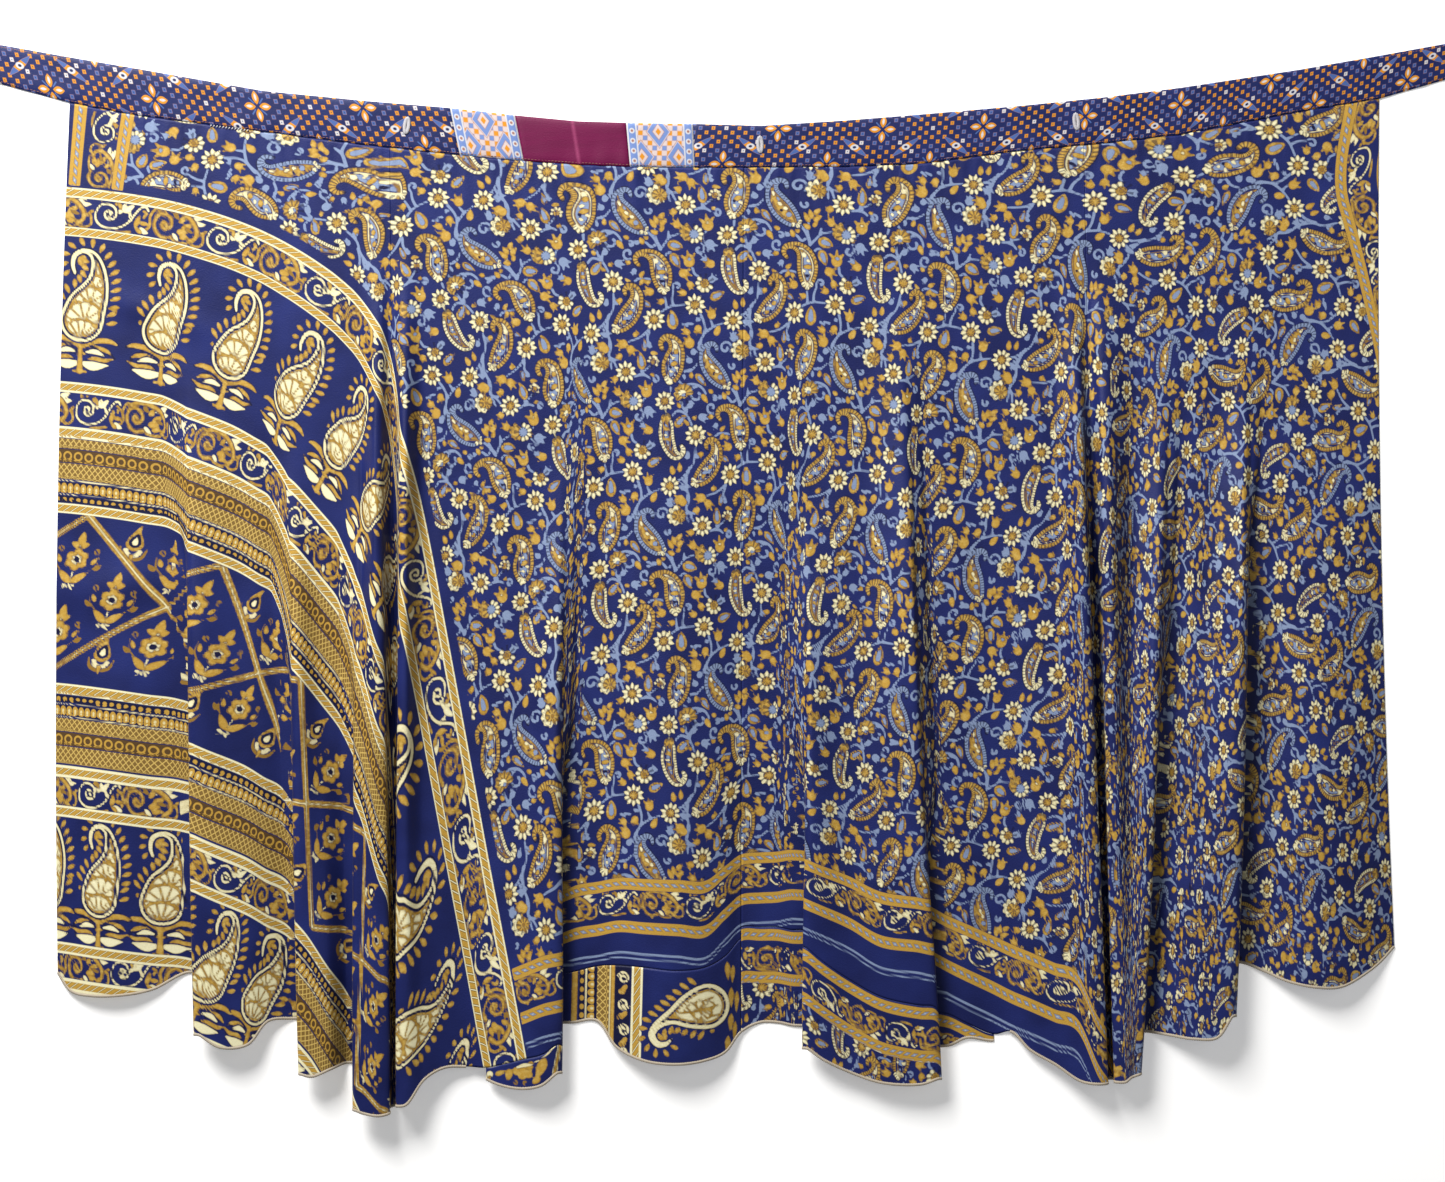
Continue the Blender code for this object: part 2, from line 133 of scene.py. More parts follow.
# The waistband with its ties: (x, y of the top edge, y of the bottom edge)
bandEdges = (
    (-1241.2, 565.5, 530.2), (-974.6, 518.4, 482.2), (-710, 472.4, 434.1), (-641.4, 460.1, 415.5),
    (-580.6, 449.8, 403.8), (-452.3, 427.3, 387.1), (-353.3, 417.5, 374.4), (-264.1, 410.1, 364.6),
    (-200.4, 402.8, 358.7), (-143.6, 397.4, 354.8), (-93.6, 395.9, 352.8), (-29.9, 394.9, 351.8),
    (35.8, 393, 352.3), (121, 398.4, 352.8), (193.5, 404.2, 355.7), (290.6, 412.6, 368.5),
    (368, 420.4, 375.3), (446.4, 430.2, 384.2), (563, 447.9, 406.7), (641.4, 461.6, 419.4),
    (706.1, 473.3, 438.1), (973.6, 522.3, 487.1), (1241.2, 571.3, 536.1),
)
# Where each length of the band ends: (x at the top edge, x at the bottom edge)
bandCuts = {
    "band_left": (-269, -259.2),
    "lattice_left": (-205.3, -196.5),
    "band_middle": (-96.5, -92.6),
    "lattice_right": (-30.9, -28.9),
}
# Each lap is a row of columns, given for the lap leaning right over left:
# (name, place when flat in spreads, place when closed in depths, height share, level)
lapShape = (
    ("approach", -1, None, 0.02, "low"),
    ("under", -0.72, 0.45, 0.03, "low"),
    ("tuck_low", -0.5, 0.86, 0.07, "low"),
    ("tuck", -0.3, 1, 0.22, "low_third"),
    ("tuck_high", -0.1, 0.86, 0.38, "half"),
    ("between", 0.1, 0.46, 0.5, "high_third"),
    ("lip_low", 0.3, 0.1, 0.62, "lip"),
    ("lip", 0.48, 0, 0.82, "lip"),
    ("lip_high", 0.68, 0.1, 0.97, "lip"),
    ("top", 1, 0.45, 1, "top"),
)
levelShares = {"low": 0, "low_third": 0.3, "half": 0.5, "high_third": 0.7, "lip": 1}
approachClosed = -0.6
# A crease: (name, place when flat in spreads, place when closed in mm, height share)
creaseShape = (
    ("left_top", -1, -13, 1),
    ("left_lip", -0.66, -3.4, 0.88),
    ("left_wall", -0.42, -5.4, 0.46),
    ("left_foot", -0.22, -4.6, 0.1),
    ("bottom", 0, 0, 0.03),
    ("right_foot", 0.22, 4.6, 0.1),
    ("right_wall", 0.42, 5.4, 0.46),
    ("right_lip", 0.66, 3.4, 0.88),
    ("right_top", 1, 13, 1),
)
# The print is held at the cloth's points as signed distances in px to the edge of each ink,
# negative inside. The material turns them into crisp colour.
inks = ("gold", "cream", "grey", "ochre", "dark", "rope", "link", "bead", "dot", "brocade", "chain")
gold, cream, grey, ochre, dark = inks[:5]
# The printed cloth's layout, in px: across the sari from border to border, and along it
printLook = {
    "borderTop": -288,
    "topDrift": 50,  # towards the right end
    "borderBottom": 674,
    "borderRope": 11.5,
    "borderScroll": 31,
    "palluStart": -245,
    "palluMargin": 10,
    "repeatWidth": 148.5,
    "repeatHeight": 161,
    "repeatShift": 74.2,
}
farAway = 30.0
notchPitch = 2.9  # px between the notches of a paisley's rim


class Print:
    # Ink distances at an array of places, and where each place is along and across its band
    def __init__(self, u, v):
        self.u, self.v = u, v
        self.ink = {name: np.full(u.shape, farAway) for name in inks}
        self.notch = np.full(u.shape, farAway)
        self.along = np.zeros(u.shape)
        self.off = np.zeros(u.shape)
        self.repeat = lambda right, down: (right, down)

    def near(self, x, y, reach):
        # The places within reach of a repeating point, with their offsets from it
        right, down = self.repeat(self.u - x, self.v - y)
        at = np.flatnonzero(right**2 + down**2 < reach**2)
        return at, right[at], down[at]

    def lay(self, ink, at, distance):
        # One ink over the others: it joins its own layer and is cut out of the rest
        for name, layer in self.ink.items():
            if name == ink:
                layer[at] = np.minimum(layer[at], distance)
            else:
                layer[at] = np.maximum(layer[at], -distance)

    def partPetals(self, at, close, ring, turns):
        # Notches part a flower's petals, turns apart in petals, on a ring
        self.notch[at[close]] = ring[close]
        self.along[at[close]] = (turns * notchPitch)[close]

    def body(self, path, radii, middle, reach):
        # The distance to one shape, at the places near it and as a whole layer
        at, right, down = self.near(*middle, reach)
        distance = strokeDistance(right, down, path, radii)[0]
        whole = np.full(self.u.shape, farAway)
        whole[at] = distance
        return at, distance, whole

    def keepInside(self, distance):
        # Everything laid so far is cut off where distance is positive
        for layer in (*self.ink.values(), self.notch):
            np.maximum(layer, distance, out=layer)

    def addPart(self, u, v, paint, outside, margin=12):
        # A part of the print in its own coordinates, cut off where outside is positive
        where = outside < margin
        part = Print(u[where], v[where])
        paint(part)
        part.keepInside(outside[where])
        for name in inks:
            self.ink[name][where] = np.minimum(self.ink[name][where], part.ink[name])
        taken = outside[where] < 1
        at = np.flatnonzero(where)[taken]
        self.along[at], self.off[at] = part.along[taken], part.off[taken]
        self.notch[where] = np.minimum(self.notch[where], part.notch)


def brickRepeat(right, down):
    # Offsets to the nearest copy of a point that repeats in rows, each shifted from the last
    row = np.round(down / printLook["repeatHeight"])
    right = right - printLook["repeatShift"] * row
    right = right - printLook["repeatWidth"] * np.round(right / printLook["repeatWidth"])
    return right, down - printLook["repeatHeight"] * row


def rowRepeat(pitch):
    # Offsets to the nearest copy in one row
    return lambda right, down: (right - pitch * np.round(right / pitch), down)


def strokeDistance(x, y, path, radii):
    # Distance to a tapered stroke along a path, less its radius there, and the way along it
    path, radii = np.asarray(path, float), np.asarray(radii, float)
    best = np.full(x.shape, 1e3)
    way = np.zeros(x.shape)
    run = 0
    for i in range(len(path) - 1):
        step = path[i + 1] - path[i]
        length = math.hypot(*step) + 1e-9
        share = ((x - path[i, 0]) * step[0] + (y - path[i, 1]) * step[1]) / length**2
        held = np.clip(share, 0, 1)
        gapX = x - path[i, 0] - held * step[0]
        gapY = y - path[i, 1] - held * step[1]
        distance = np.hypot(gapX, gapY) - radii[i] - held * (radii[i + 1] - radii[i])
        aside, ahead = np.abs(gapX * step[1] - gapY * step[0]), gapX * step[0] + gapY * step[1]
        turn = np.abs(np.arctan2(aside, ahead))
        cap = np.where(share > 1, (math.pi / 2 - turn) * radii[i + 1], 0)
        nearer = distance < best
        best = np.where(nearer, distance, best)
        way = np.where(nearer, run + held * length + np.maximum(cap, 0), way)
        run += length
    return best, way


def smoothPath(path, radii, cuts=4):
    # Catmull-Rom through the path's points, with the radii eased the same way
    rows = np.column_stack([np.asarray(path, float), radii])
    padded = np.concatenate([[2 * rows[0] - rows[1]], rows, [2 * rows[-1] - rows[-2]]])
    share = np.linspace(0, 1, cuts, endpoint=False)[:, None]
    out = []
    for i in range(len(rows) - 1):
        a, b, c, d = padded[i:i + 4]
        out.append(
            b + 0.5 * share * (c - a + share * (2 * a - 5 * b + 4 * c - d
                               + share * (3 * (b - c) + d - a)))
        )
    out = np.concatenate(out + [rows[-1:]])
    return out[:, :2], np.maximum(out[:, 2], 0.3)


def stroke(cloth, ink, path, radii, cuts=4):
    # A painted line; one radius serves the whole of it
    radii = np.full(len(path), radii) if np.isscalar(radii) else radii
    path, radii = smoothPath(path, radii, cuts)
    middle = 0.5 * (path.min(axis=0) + path.max(axis=0))
    reach = np.linalg.norm(path - middle, axis=1).max() + max(radii) + 3
    at, x, y = cloth.near(*middle, reach)
    cloth.lay(ink, at, strokeDistance(x, y, path - middle, radii)[0])


def blob(cloth, ink, x, y, along, across, angle=0):
    # An ellipse: its distance is worked out in the space where it is a circle
    turn = math.radians(angle)
    at, right, down = cloth.near(x, y, max(along, across) + 3)
    first = right * math.cos(turn) + down * math.sin(turn)
    second = down * math.cos(turn) - right * math.sin(turn)
    size = np.hypot(first / along, second / across)
    slope = np.hypot(first / along**2, second / across**2) / np.maximum(size, 0.2)
    cloth.lay(ink, at, (size - 1) / np.maximum(slope, 1 / max(along, across)))


def petals(cloth, ink, x, y, reach, count, width, inner=0.3, facing=None, spread=360,
           turn=0, parted=False):
    # A ring or fan of rounded petals: one petal, folded round the middle of the flower
    at, right, down = cloth.near(x, y, reach + 3)
    angle = np.arctan2(down, right) - math.radians(turn)
    radius = np.hypot(right, down)
    step = math.radians(spread) / count
    if facing is not None:
        angle = np.mod(angle - math.radians(facing) + turn + math.pi, 2 * math.pi) - math.pi
        number = np.clip(np.floor(angle / step + count / 2), 0, count - 1) - count / 2 + 0.5
        folded = angle - number * step
    else:
        folded = np.mod(angle, step) - 0.5 * step
    middle, half = 0.5 * (inner + 1) * reach, 0.5 * (1 - inner) * reach
    first, second = radius * np.cos(folded) - middle, radius * np.sin(folded)
    distance = (np.hypot(first / half, second / width) - 1) * min(half, width)
    cloth.lay(ink, at, distance)
    if parted:
        ring = np.abs(radius - middle - 1) - half
        cloth.partPetals(at, radius < reach + 2, ring, np.abs(angle) / step)


def daisy(cloth, x, y, reach, count=10):
    # Pointed petals: one is folded round the middle, as wide as its place lets it be to its tip
    reach = 1.1 * reach
    at, right, down = cloth.near(x, y, reach + 3)
    angle = np.arctan2(down, right)
    radius = np.hypot(right, down)
    step = 2 * math.pi / count
    folded = np.mod(angle, step) - 0.5 * step
    first, second = radius * np.cos(folded), np.abs(radius * np.sin(folded))
    width = 0.2 * reach * np.clip((reach - first) / (0.38 * reach), 0, 1) ** 0.7
    cloth.lay(cream, at, np.maximum(second - width, first - reach))
    ring = np.abs(radius - 0.55 * reach) - 0.35 * reach
    cloth.partPetals(at, radius < reach + 2, ring, np.abs(angle) / step)
    blob(cloth, ochre, x, y, 0.44 * reach, 0.44 * reach)
    petals(cloth, gold, x, y, 0.44 * reach, 6, 0.15 * reach, 0.05, turn=10)
    blob(cloth, gold, x, y, 0.17 * reach, 0.17 * reach)


def bud(cloth, x, y, angle, size, ink=gold):
    # A cup with three points
    size = 1.12 * size
    turn = math.radians(angle)
    forward = np.array([math.cos(turn), math.sin(turn)])
    side = np.array([-forward[1], forward[0]])
    base = np.array([x, y]) - 0.3 * size * forward
    blob(cloth, ink, *(base + 0.22 * size * forward), 0.36 * size, 0.34 * size, angle)
    for lean in (-0.42, 0, 0.42):
        tip = base + (0.86 - 0.5 * abs(lean)) * size * forward + lean * size * side
        stroke(cloth, ink, [base + 0.2 * size * forward, tip], [0.17 * size, 0.06 * size], 1)


def leaf(cloth, x0, y0, x1, y1, width, ink=gold, heart=None):
    # A lens from foot to tip, wide at its lower third; heart is the ink of its middle
    foot, tip = np.array([x0, y0], float), np.array([x1, y1], float)
    for name, share in ((ink, 1), (heart, 0.45)):
        if name:
            places = ((1 - share) * 0.5, 0.3, 0.65, 1 - 0.32 * (1 - share))
            path = [foot + place * (tip - foot) for place in places]
            stroke(cloth, name, path, [0.4, 0.58 * share * width, 0.44 * share * width, 0.3], 3)


def vine(cloth, path, width=2.8, ink=grey):
    # A line that thins by a quarter to its end
    stroke(cloth, ink, path, np.linspace(width, 0.75 * width, len(path)) / 2)


def curl(cloth, x, y, reach, start, turns, ink=grey, width=2.4):
    # A spiral from its outer end to a knob near (x, y); turns is in full turns, with its sign
    share = np.linspace(0, 1, 9)
    angle = math.radians(start) + 2 * math.pi * turns * share
    radius = reach * (1 - 0.72 * share)
    path = np.stack([x + radius * np.cos(angle), y + radius * np.sin(angle)], axis=1)
    stroke(cloth, ink, path, np.linspace(0.9, 1.25, 9) * width / 2, 2)


def halfFlower(cloth, x, y, reach, facing, petalInk, heartInk, middleInk, count, spread):
    # A fan of parted petals round a disc and its dot
    petals(cloth, petalInk, x, y, reach, count, 0.26 * reach, 0.25, facing, spread, parted=True)
    blob(cloth, heartInk, x, y, 0.5 * reach, 0.5 * reach)
    blob(cloth, middleInk, x, y, 0.22 * reach, 0.22 * reach)


def paisley(cloth, path, radii, rim, fill, ring, lining, fruits):
    # A hooked teardrop: a notched rim, a dark line, a lining, a filled heart and its fruits
    path, radii = smoothPath(path, radii, 5)
    middle = 0.5 * (path.min(axis=0) + path.max(axis=0))
    reach = np.linalg.norm(path - middle, axis=1).max() + max(radii) + 4
    at, x, y = cloth.near(*middle, reach)
    distance, way = strokeDistance(x, y, path - middle, radii)
    cloth.lay(dark, at, distance - 1.1)
    cloth.lay(rim, at, distance)
    cloth.notch[at] = np.minimum(cloth.notch[at], np.abs(distance + 0.5 * ring - 0.4) - 0.5 * ring)
    inside = distance < 5
    cloth.along[at[inside]] = way[inside]
    cloth.lay(dark, at, distance + ring)
    cloth.lay(lining, at, distance + ring + 0.6)
    cloth.lay(ochre, at, distance + ring + 1.9)
    cloth.lay(fill, at, distance + ring + 2.9)
    for x, y, along, across, angle, ink in fruits:
        blob(cloth, ink, x, y, along, across, angle)


# One repeat of the field, in px from the middle of its first paisley: x right, y down
fieldDaisies = (
    (100, 8.5, 10.4), (-10, 41.7, 10), (20.8, 78.3, 10.8), (101.7, 109, 10.4), (58.8, 120, 10.8),
    (-8, 127, 10.2),
)
# Buds: (x, y, facing in degrees clockwise from right, size)
fieldBuds = (
    (19, -15.5, -140, 12), (120, 29, -95, 15), (89.5, 27, -120, 10), (99, 64, -95, 15),
    (93.5, 77, 20, 12), (118, 119, -95, 12), (103, 134, 100, 10), (90.5, 135, -150, 9),
    (92.5, 147.5, -165, 12), (24, 141.5, 175, 12), (33, 148.5, 60, 11), (4.5, 144.5, 170, 11),
    (87.5, 14.5, 150, 9), (76, -20, 170, 11), (113, 44, -60, 6), (20, 61, 0, 5.5), (38, 61, 180, 6),
    (56, 92, 190, 11), (25.5, 98, 150, 7), (67.5, 103, 160, 8), (90, 96, 200, 9), (98.5, 89, 60, 9),
    (39, 133, -30, 7), (20, 154, 120, 7), (119.5, 69, 200, 11), (94, -7.5, 160, 8), (55.5, 82.5, 30, 6),
    (12.5, 65.5, 60, 5), (127, 14, 0, 5),
)
# Leaves: (foot x, foot y, tip x, tip y, width, heart)
fieldLeaves = (
    (117.5, 8, 116, -10, 8, grey), (80, 46, 94, 51, 9, grey), (0, 68, 12, 57, 8, grey),
    (118, 104, 133, 98, 8, grey), (78, 131, 77, 112, 10, grey), (24, 17, 34, 30, 6, grey),
    (82, 56, 89, 71, 8, grey), (29, 38, 35, 47, 5, None), (71, 25, 68, 16, 4.5, None),
    (73, 20, 79, 14.5, 4.5, None), (69, 29, 63, 19, 4.5, None), (73, 27, 81, 21, 4.5, None),
    (70, 35, 63, 31, 4.5, None), (73, 33, 77, 27, 4, None), (40, 84, 33, 76, 4, None),
    (48, 76, 54, 71, 4, None), (52, 79, 47, 85, 4, None), (41, 37, 36, 34, 4, None),
    (55, 44, 52, 37, 4.5, None), (59, 40, 57, 33, 4, None), (-4, 116, -6, 106, 5, None),
    (3, 114, 3, 104, 4.5, None), (50, 102, 57, 107, 5, grey), (121, 141, 126, 131, 6, None),
    (47, 151, 47, 138, 5, grey), (19, 21, 19, 14, 4, None), (127, -8, 135, -6, 4, None),
    (6, 49, 3, 45, 4, None),
)
# Vines: the points of each, from its thick end
fieldVines = (
    ((28, -7), (31, -15), (36, -26.7)), ((58.5, 33), (63, 35), (68, 43), (71, 51.7)),
    ((71, 51.7), (76.7, 45), (82, 39.5), (93, 36.5)), ((71, 51), (68.5, 54), (67, 57)),
    ((71, 49), (67.5, 36), (70, 21)), ((100, 14), (112, 13.5), (118, 10), (126, 5)),
    ((113, 13), (120, 14), (124, 17)), ((85, -23), (83, -10), (87, -5), (91, 4)), ((83, -9), (85, 4)),
    ((86, -6), (93, -4)), ((-2, 128), (9, 129), (16, 129)), ((9, 129), (12, 141), (9, 152)),
    ((9, 128), (11.7, 115), (18, 105), (20, 90)), ((-1, 123), (4, 121), (9, 116), (13, 110)),
    ((9, 122), (5, 126)), ((-2.5, 27), (-3, 33)), ((13, 27.5), (20, 27), (28, 30), (33, 37), (33, 43)),
    ((-3, 57), (3, 52.5), (11.5, 56.5), (16, 65), (19, 74)), ((12, 55), (14, 48)), ((11, 53), (7, 47)),
    ((54, 129), (43, 136.5), (30, 140)), ((53, 132), (50.5, 139), (52, 145)),
    ((64, 116), (69, 112), (78, 108.5), (94, 108)), ((73, 110), (72.3, 104), (71.5, 98)),
    ((79, 107), (79, 100), (81, 93)), ((102, 72), (103.5, 78), (109, 82)),
    ((41, 82), (46, 78.5), (54, 78.5), (60, 80)), ((106, 116), (110, 129), (109.5, 138)),
    ((109.5, 138), (103, 148), (102.5, 152)), ((109.5, 138), (119, 132.5), (130, 129)),
    ((119, 132), (116.5, 125)), ((118, 84), (126, 84.5)), ((75, 58), (80, 54.5), (84, 57)),
    ((113, 48), (115, 40), (119, 36)), ((12, 13.5), (20, 12.5), (26, 7)), ((17, 12.5), (21, 18)),
    ((62, 48), (58, 43), (53, 41)), ((116, 8), (119, 14)), ((98, 128), (92, 127)), ((80, 40), (81, 34)),
    ((88, 127.5), (93, 130)), ((66, 46), (61, 50)),
)
# Curls: (x, y, reach, start angle, turns)
fieldCurls = (
    (57, -7, 7.5, 40, -1.1), (10, 20, 6, 90, 0.8), (24, 38, 8.5, -80, -0.9), (39, 52, 6.5, 60, 0.9),
    (64, 11, 4.5, 200, -0.7), (85, 89, 5, 150, 0.8), (110, 54, 5.5, -30, 0.8),
    (130, 19, 4.5, -120, 0.9), (53, 146, 3.2, -90, -0.6), (42.5, 43, 3.5, -120, 0.7),
    (66, -17, 4.5, 0, 0.6),
)
greyBuds = (
    (23, -5.5, -60, 8), (17.5, 3, 200, 8), (29, 61, 20, 10), (121.5, 50.5, 60, 12), (43, 70.5, 120, 7),
    (16.5, 47.5, -60, 8), (7, 46.5, -120, 6), (-9, 144.5, -120, 7), (115, 64.5, -130, 8),
    (121, 84.5, -40, 9), (11, 98, -100, 8), (22.5, 99, -60, 7), (6, 131, 150, 6), (49, 42, 180, 6),
    (66, -19, -90, 8), (104, 124, 180, 5),
)
# Half flowers: (x, y, reach, facing, petals' ink, disc's ink, dot's ink, petals, spread)
fieldHalfFlowers = (
    (73, -4, 10.5, 160, cream, gold, gold, 6, 250), (76, -3, 7.5, 0, gold, gold, ochre, 5, 200),
    (129, 1, 6.5, -60, cream, gold, ochre, 6, 260), (10, 35.5, 10.5, -110, gold, gold, cream, 7, 250),
    (101, 36, 9.5, 175, gold, gold, gold, 6, 200), (106, 38.5, 9.5, 20, cream, grey, grey, 6, 210),
    (113, 88.5, 9.5, 130, cream, gold, ochre, 6, 230),
)
# Seeds in the buds and flowers: (ink, x, y, half length, half width)
fieldSeeds = (
    (cream, 120, 28, 1.8, 1.2), (grey, 99.5, 63, 2.2, 1.6), (cream, 8.5, 35, 4.2, 3.2),
    (grey, 10, 37, 2.2, 1.6),
)
# Paisleys: (path, radii, rim's ink, heart's ink, rim's width, lining's ink, fruits), with
# each fruit an ellipse (x, y, half length, half width, angle, ink)
fieldPaisleys = (
    (((-9.5, -11), (-10.6, -16.5), (-6.5, -21.5), (-0.5, -20.8), (4.6, -14), (4.8, -6), (2, 2),
     (-0.2, 9), (-1.7, 16), (-3.6, 22)), (2.2, 2.6, 3.2, 4.4, 7, 9, 11, 11.4, 8.6, 3.8), gold, grey,
     3.9, cream, ((4.8, -11.5, 1.8, 3.2, 0, cream), (5, -6.8, 2.4, 3, 20, gold),
     (1.5, -0.5, 2.6, 1.6, -30, cream), (1.8, 5.2, 4.2, 2.6, -20, gold), (-1.6, 8, 1.5, 1.5, 0, dark),
     (3.8, 9.2, 2, 1.6, 30, cream), (-1.5, 12.6, 2.2, 1.6, 40, cream), (-7, 19.5, 2.4, 2.8, 30, cream),
     (-2.4, 22.8, 2.3, 2.9, 0, cream), (-5.5, 23.5, 1.8, 2.4, 20, cream))),
    (((47.5, -5), (46, -10.5), (40.5, -11.8), (35.4, -7), (34.8, 0.5), (38.4, 9), (44.6, 17.8),
     (51.5, 25.5), (57.5, 31)), (1.6, 2.1, 2.8, 4.6, 6.8, 9.4, 10.4, 8.4, 4.4), grey, gold, 3.6, gold,
     ((35.5, 1, 1.3, 3.2, -20, cream), (41.5, 11.5, 2.6, 1.6, 40, cream),
     (46.5, 16, 2.4, 1.8, 20, cream), (43, 18, 1.4, 1.4, 0, dark), (49.8, 22.2, 2.6, 2.4, 0, grey),
     (40, 6.5, 1.2, 2.4, -30, grey), (54, 32, 1.8, 2.4, 30, cream), (58.5, 33.2, 1.9, 2.4, 0, cream),
     (60, 29, 2.4, 1.7, -50, cream))),
    (((48.8, 65), (45.6, 60.2), (47.2, 54.8), (53.5, 52.8), (61, 55), (66.6, 61), (69.4, 69),
     (70.5, 77), (71, 85), (71.3, 92)), (1.8, 2.4, 3, 3.6, 5.4, 8, 10.2, 10.6, 8.4, 4.4), gold, grey,
     3.9, cream, ((66, 62, 2.8, 2.2, 40, cream), (63.4, 58.2, 1.8, 1.4, 30, gold),
     (70.5, 67.5, 2.2, 1.6, 30, cream), (70.5, 73.5, 4.6, 2.4, 0, gold), (67, 78, 2, 1.6, 0, cream),
     (73.5, 79, 2.2, 1.4, 30, cream), (70.5, 82.5, 2.6, 1.4, 0, dark), (67.2, 91, 2.2, 2.8, 20, cream),
     (71.6, 93.8, 2.4, 3, 0, cream), (75.5, 90.8, 2, 2.6, -20, cream))),
    (((32.2, 92.5), (31.6, 88), (35.8, 84.6), (41.4, 87.5), (43.4, 95), (41, 103), (36.6, 110),
     (30.8, 116.5), (24.5, 122), (18.4, 126)), (1.7, 2.4, 3.2, 4.8, 6.4, 8.2, 10, 10.2, 8, 4.4), gold,
     grey, 3.9, cream, ((42.5, 96, 1.4, 3.4, 10, cream), (35.5, 111, 3, 2.2, -40, gold),
     (38.5, 105.5, 1.6, 2.4, 30, cream), (31.5, 113.5, 1.8, 1.6, 0, cream),
     (27.8, 119.8, 3, 2, -30, gold), (32, 118.5, 1.3, 1.3, 0, dark), (24.5, 118, 1.6, 1.4, 0, cream),
     (17, 122.5, 2.6, 2, 40, cream), (16.6, 127, 2.8, 2, -10, cream), (20.5, 129, 2, 2.4, 60, cream))),
    (((-9, 59), (-9.7, 66), (-10.2, 74), (-8.8, 82.5), (-6.3, 90), (-2.6, 96), (2.4, 97.8), (6.4, 95),
     (7.2, 90.5), (5.2, 88)), (5.2, 7.4, 8, 7.6, 6.4, 5, 3.6, 2.8, 2.2, 1.8), cream, grey, 3, gold,
     ((-10, 69.5, 2.6, 2.2, 0, gold), (-10.5, 75.5, 2.2, 1.4, 0, cream), (-9.4, 80, 2.2, 1.8, 20, gold),
     (-8, 85.5, 1.3, 1.3, 0, cream), (-12.3, 58.5, 2.6, 4, 15, gold), (-7, 57.8, 2.6, 4, -10, gold),
     (-9.6, 63, 1.4, 1.4, 0, ochre))),
)


def paintField(cloth):
    # The field's paisleys, flowers and vines over the plain ground
    cloth.repeat = brickRepeat
    for path in fieldVines:
        vine(cloth, path)
    for x, y, reach, start, turns in fieldCurls:
        curl(cloth, x, y, reach, start, turns)
    for x, y, angle, size in greyBuds:
        bud(cloth, x, y, angle, size, grey)
    for x0, y0, x1, y1, width, heart in fieldLeaves:
        leaf(cloth, x0, y0, x1, y1, width, gold, heart)
    for x, y, angle, size in fieldBuds:
        bud(cloth, x, y, angle, size)
    for row in fieldHalfFlowers:
        halfFlower(cloth, *row)
    for ink, *seed in fieldSeeds:
        blob(cloth, ink, *seed)
    for x, y, reach in fieldDaisies:
        daisy(cloth, x, y, reach)
    for path, radii, rim, fill, ring, lining, fruits in fieldPaisleys:
        paisley(cloth, path, radii, rim, fill, ring, lining, fruits)


# The pallu's bands in px from its first rope: (first px, last px, ink)
palluBands = (
    (0, 10, "rope"), (39.5, 48.5, "rope"), (194, 204.5, "rope"), (238.7, 250, "rope"),
    (250.8, 260.5, "brocade"), (261.4, 274.5, "chain"), (275.4, 291, "brocade"), (291.8, 293.5, cream),
    (294.3, 305, "bead"), (305.8, 307.3, cream), (308, 314.5, "dot"), (315.4, 325.3, "rope"),
    (495.5, 506, "rope"), (507, 514, "dot"), (514.8, 516.4, cream), (517, 527.2, "bead"),
    (527.8, 529.4, cream), (530, 543, "brocade"), (544, 557, "chain"), (558, 575, "brocade"),
    (577, 589, "rope"), (617.4, 628.5, "rope"), (753.6, 765, "rope"), (789, 802, "rope"),
)
palluLook = {
    "scrollPitch": 118,
    "scrollStarts": ((7.5, 55), (205, 50), (586.5, 72), (760, 4)),
    # Each row of big paisleys: its start, its shift along the band, its pitch and its stretch
    "paisleyRows": ((-9, 56, 93.4, 1.14), (562, 23, 72, 1.06)),
    "diamondPitch": 234,
    "diamondMiddle": 405.5,
    "diamondHalf": 80,
    "diamondPhase": -62,
    "diamondLean": 46,
    "diamondStretch": 1.3,
}
whiteSpiral = ((1, 27), (3, 23.5), (-1.5, 22), (-4, 26), (-1, 30.5), (5, 30), (8, 24.5), (5, 18),
               (-2, 15.5), (-9, 17.5), (-13, 25), (-12, 33), (-6, 38), (3, 39.5), (13, 37),
               (21, 31), (26, 23), (31, 15.5), (36, 13), (39.5, 16.5))
goldSpiral = ((60, 27), (57, 24), (55, 28), (60, 31.5), (65.5, 27), (63.5, 19.5), (56, 16.5),
              (49.5, 20), (47.5, 28), (51, 36), (58, 40), (67, 38))
goldArch = ((49, 20), (53, 13.5), (62, 10.5), (74, 11.5), (85, 17), (92, 25), (92.5, 33), (87, 37.5))
scrollLeaves = (
    (10, 24, 17, 12, 6, cream), (15, 22, 26, 12, 6, cream), (12, 20, 9, 11, 4, gold),
    (20, 26, 30, 21, 5, gold), (24, 30, 21, 20, 5, cream), (28, 35, 32, 22, 6, gold),
    (30, 36, 43, 39, 7, cream), (33, 30, 42, 30, 5, gold), (36, 40, 28, 35, 5, gold),
    (72, 22, 80, 13, 6, gold), (76, 28, 88, 20, 7, gold), (78, 18, 99, 9, 7, cream),
    (84, 20, 101, 17, 6, cream), (72, 31, 84, 30, 7, gold), (76, 36, 86, 34, 6, gold),
    (68, 34, 76, 40, 5, cream), (80, 26, 90, 29, 4, ochre), (66, 14, 72, 19, 5, ochre),
    (-7, 15, -8, 8.5, 4, gold), (-3, 14, 2, 9.5, 3.5, gold), (64, 38, 58, 44, 5, gold),
)
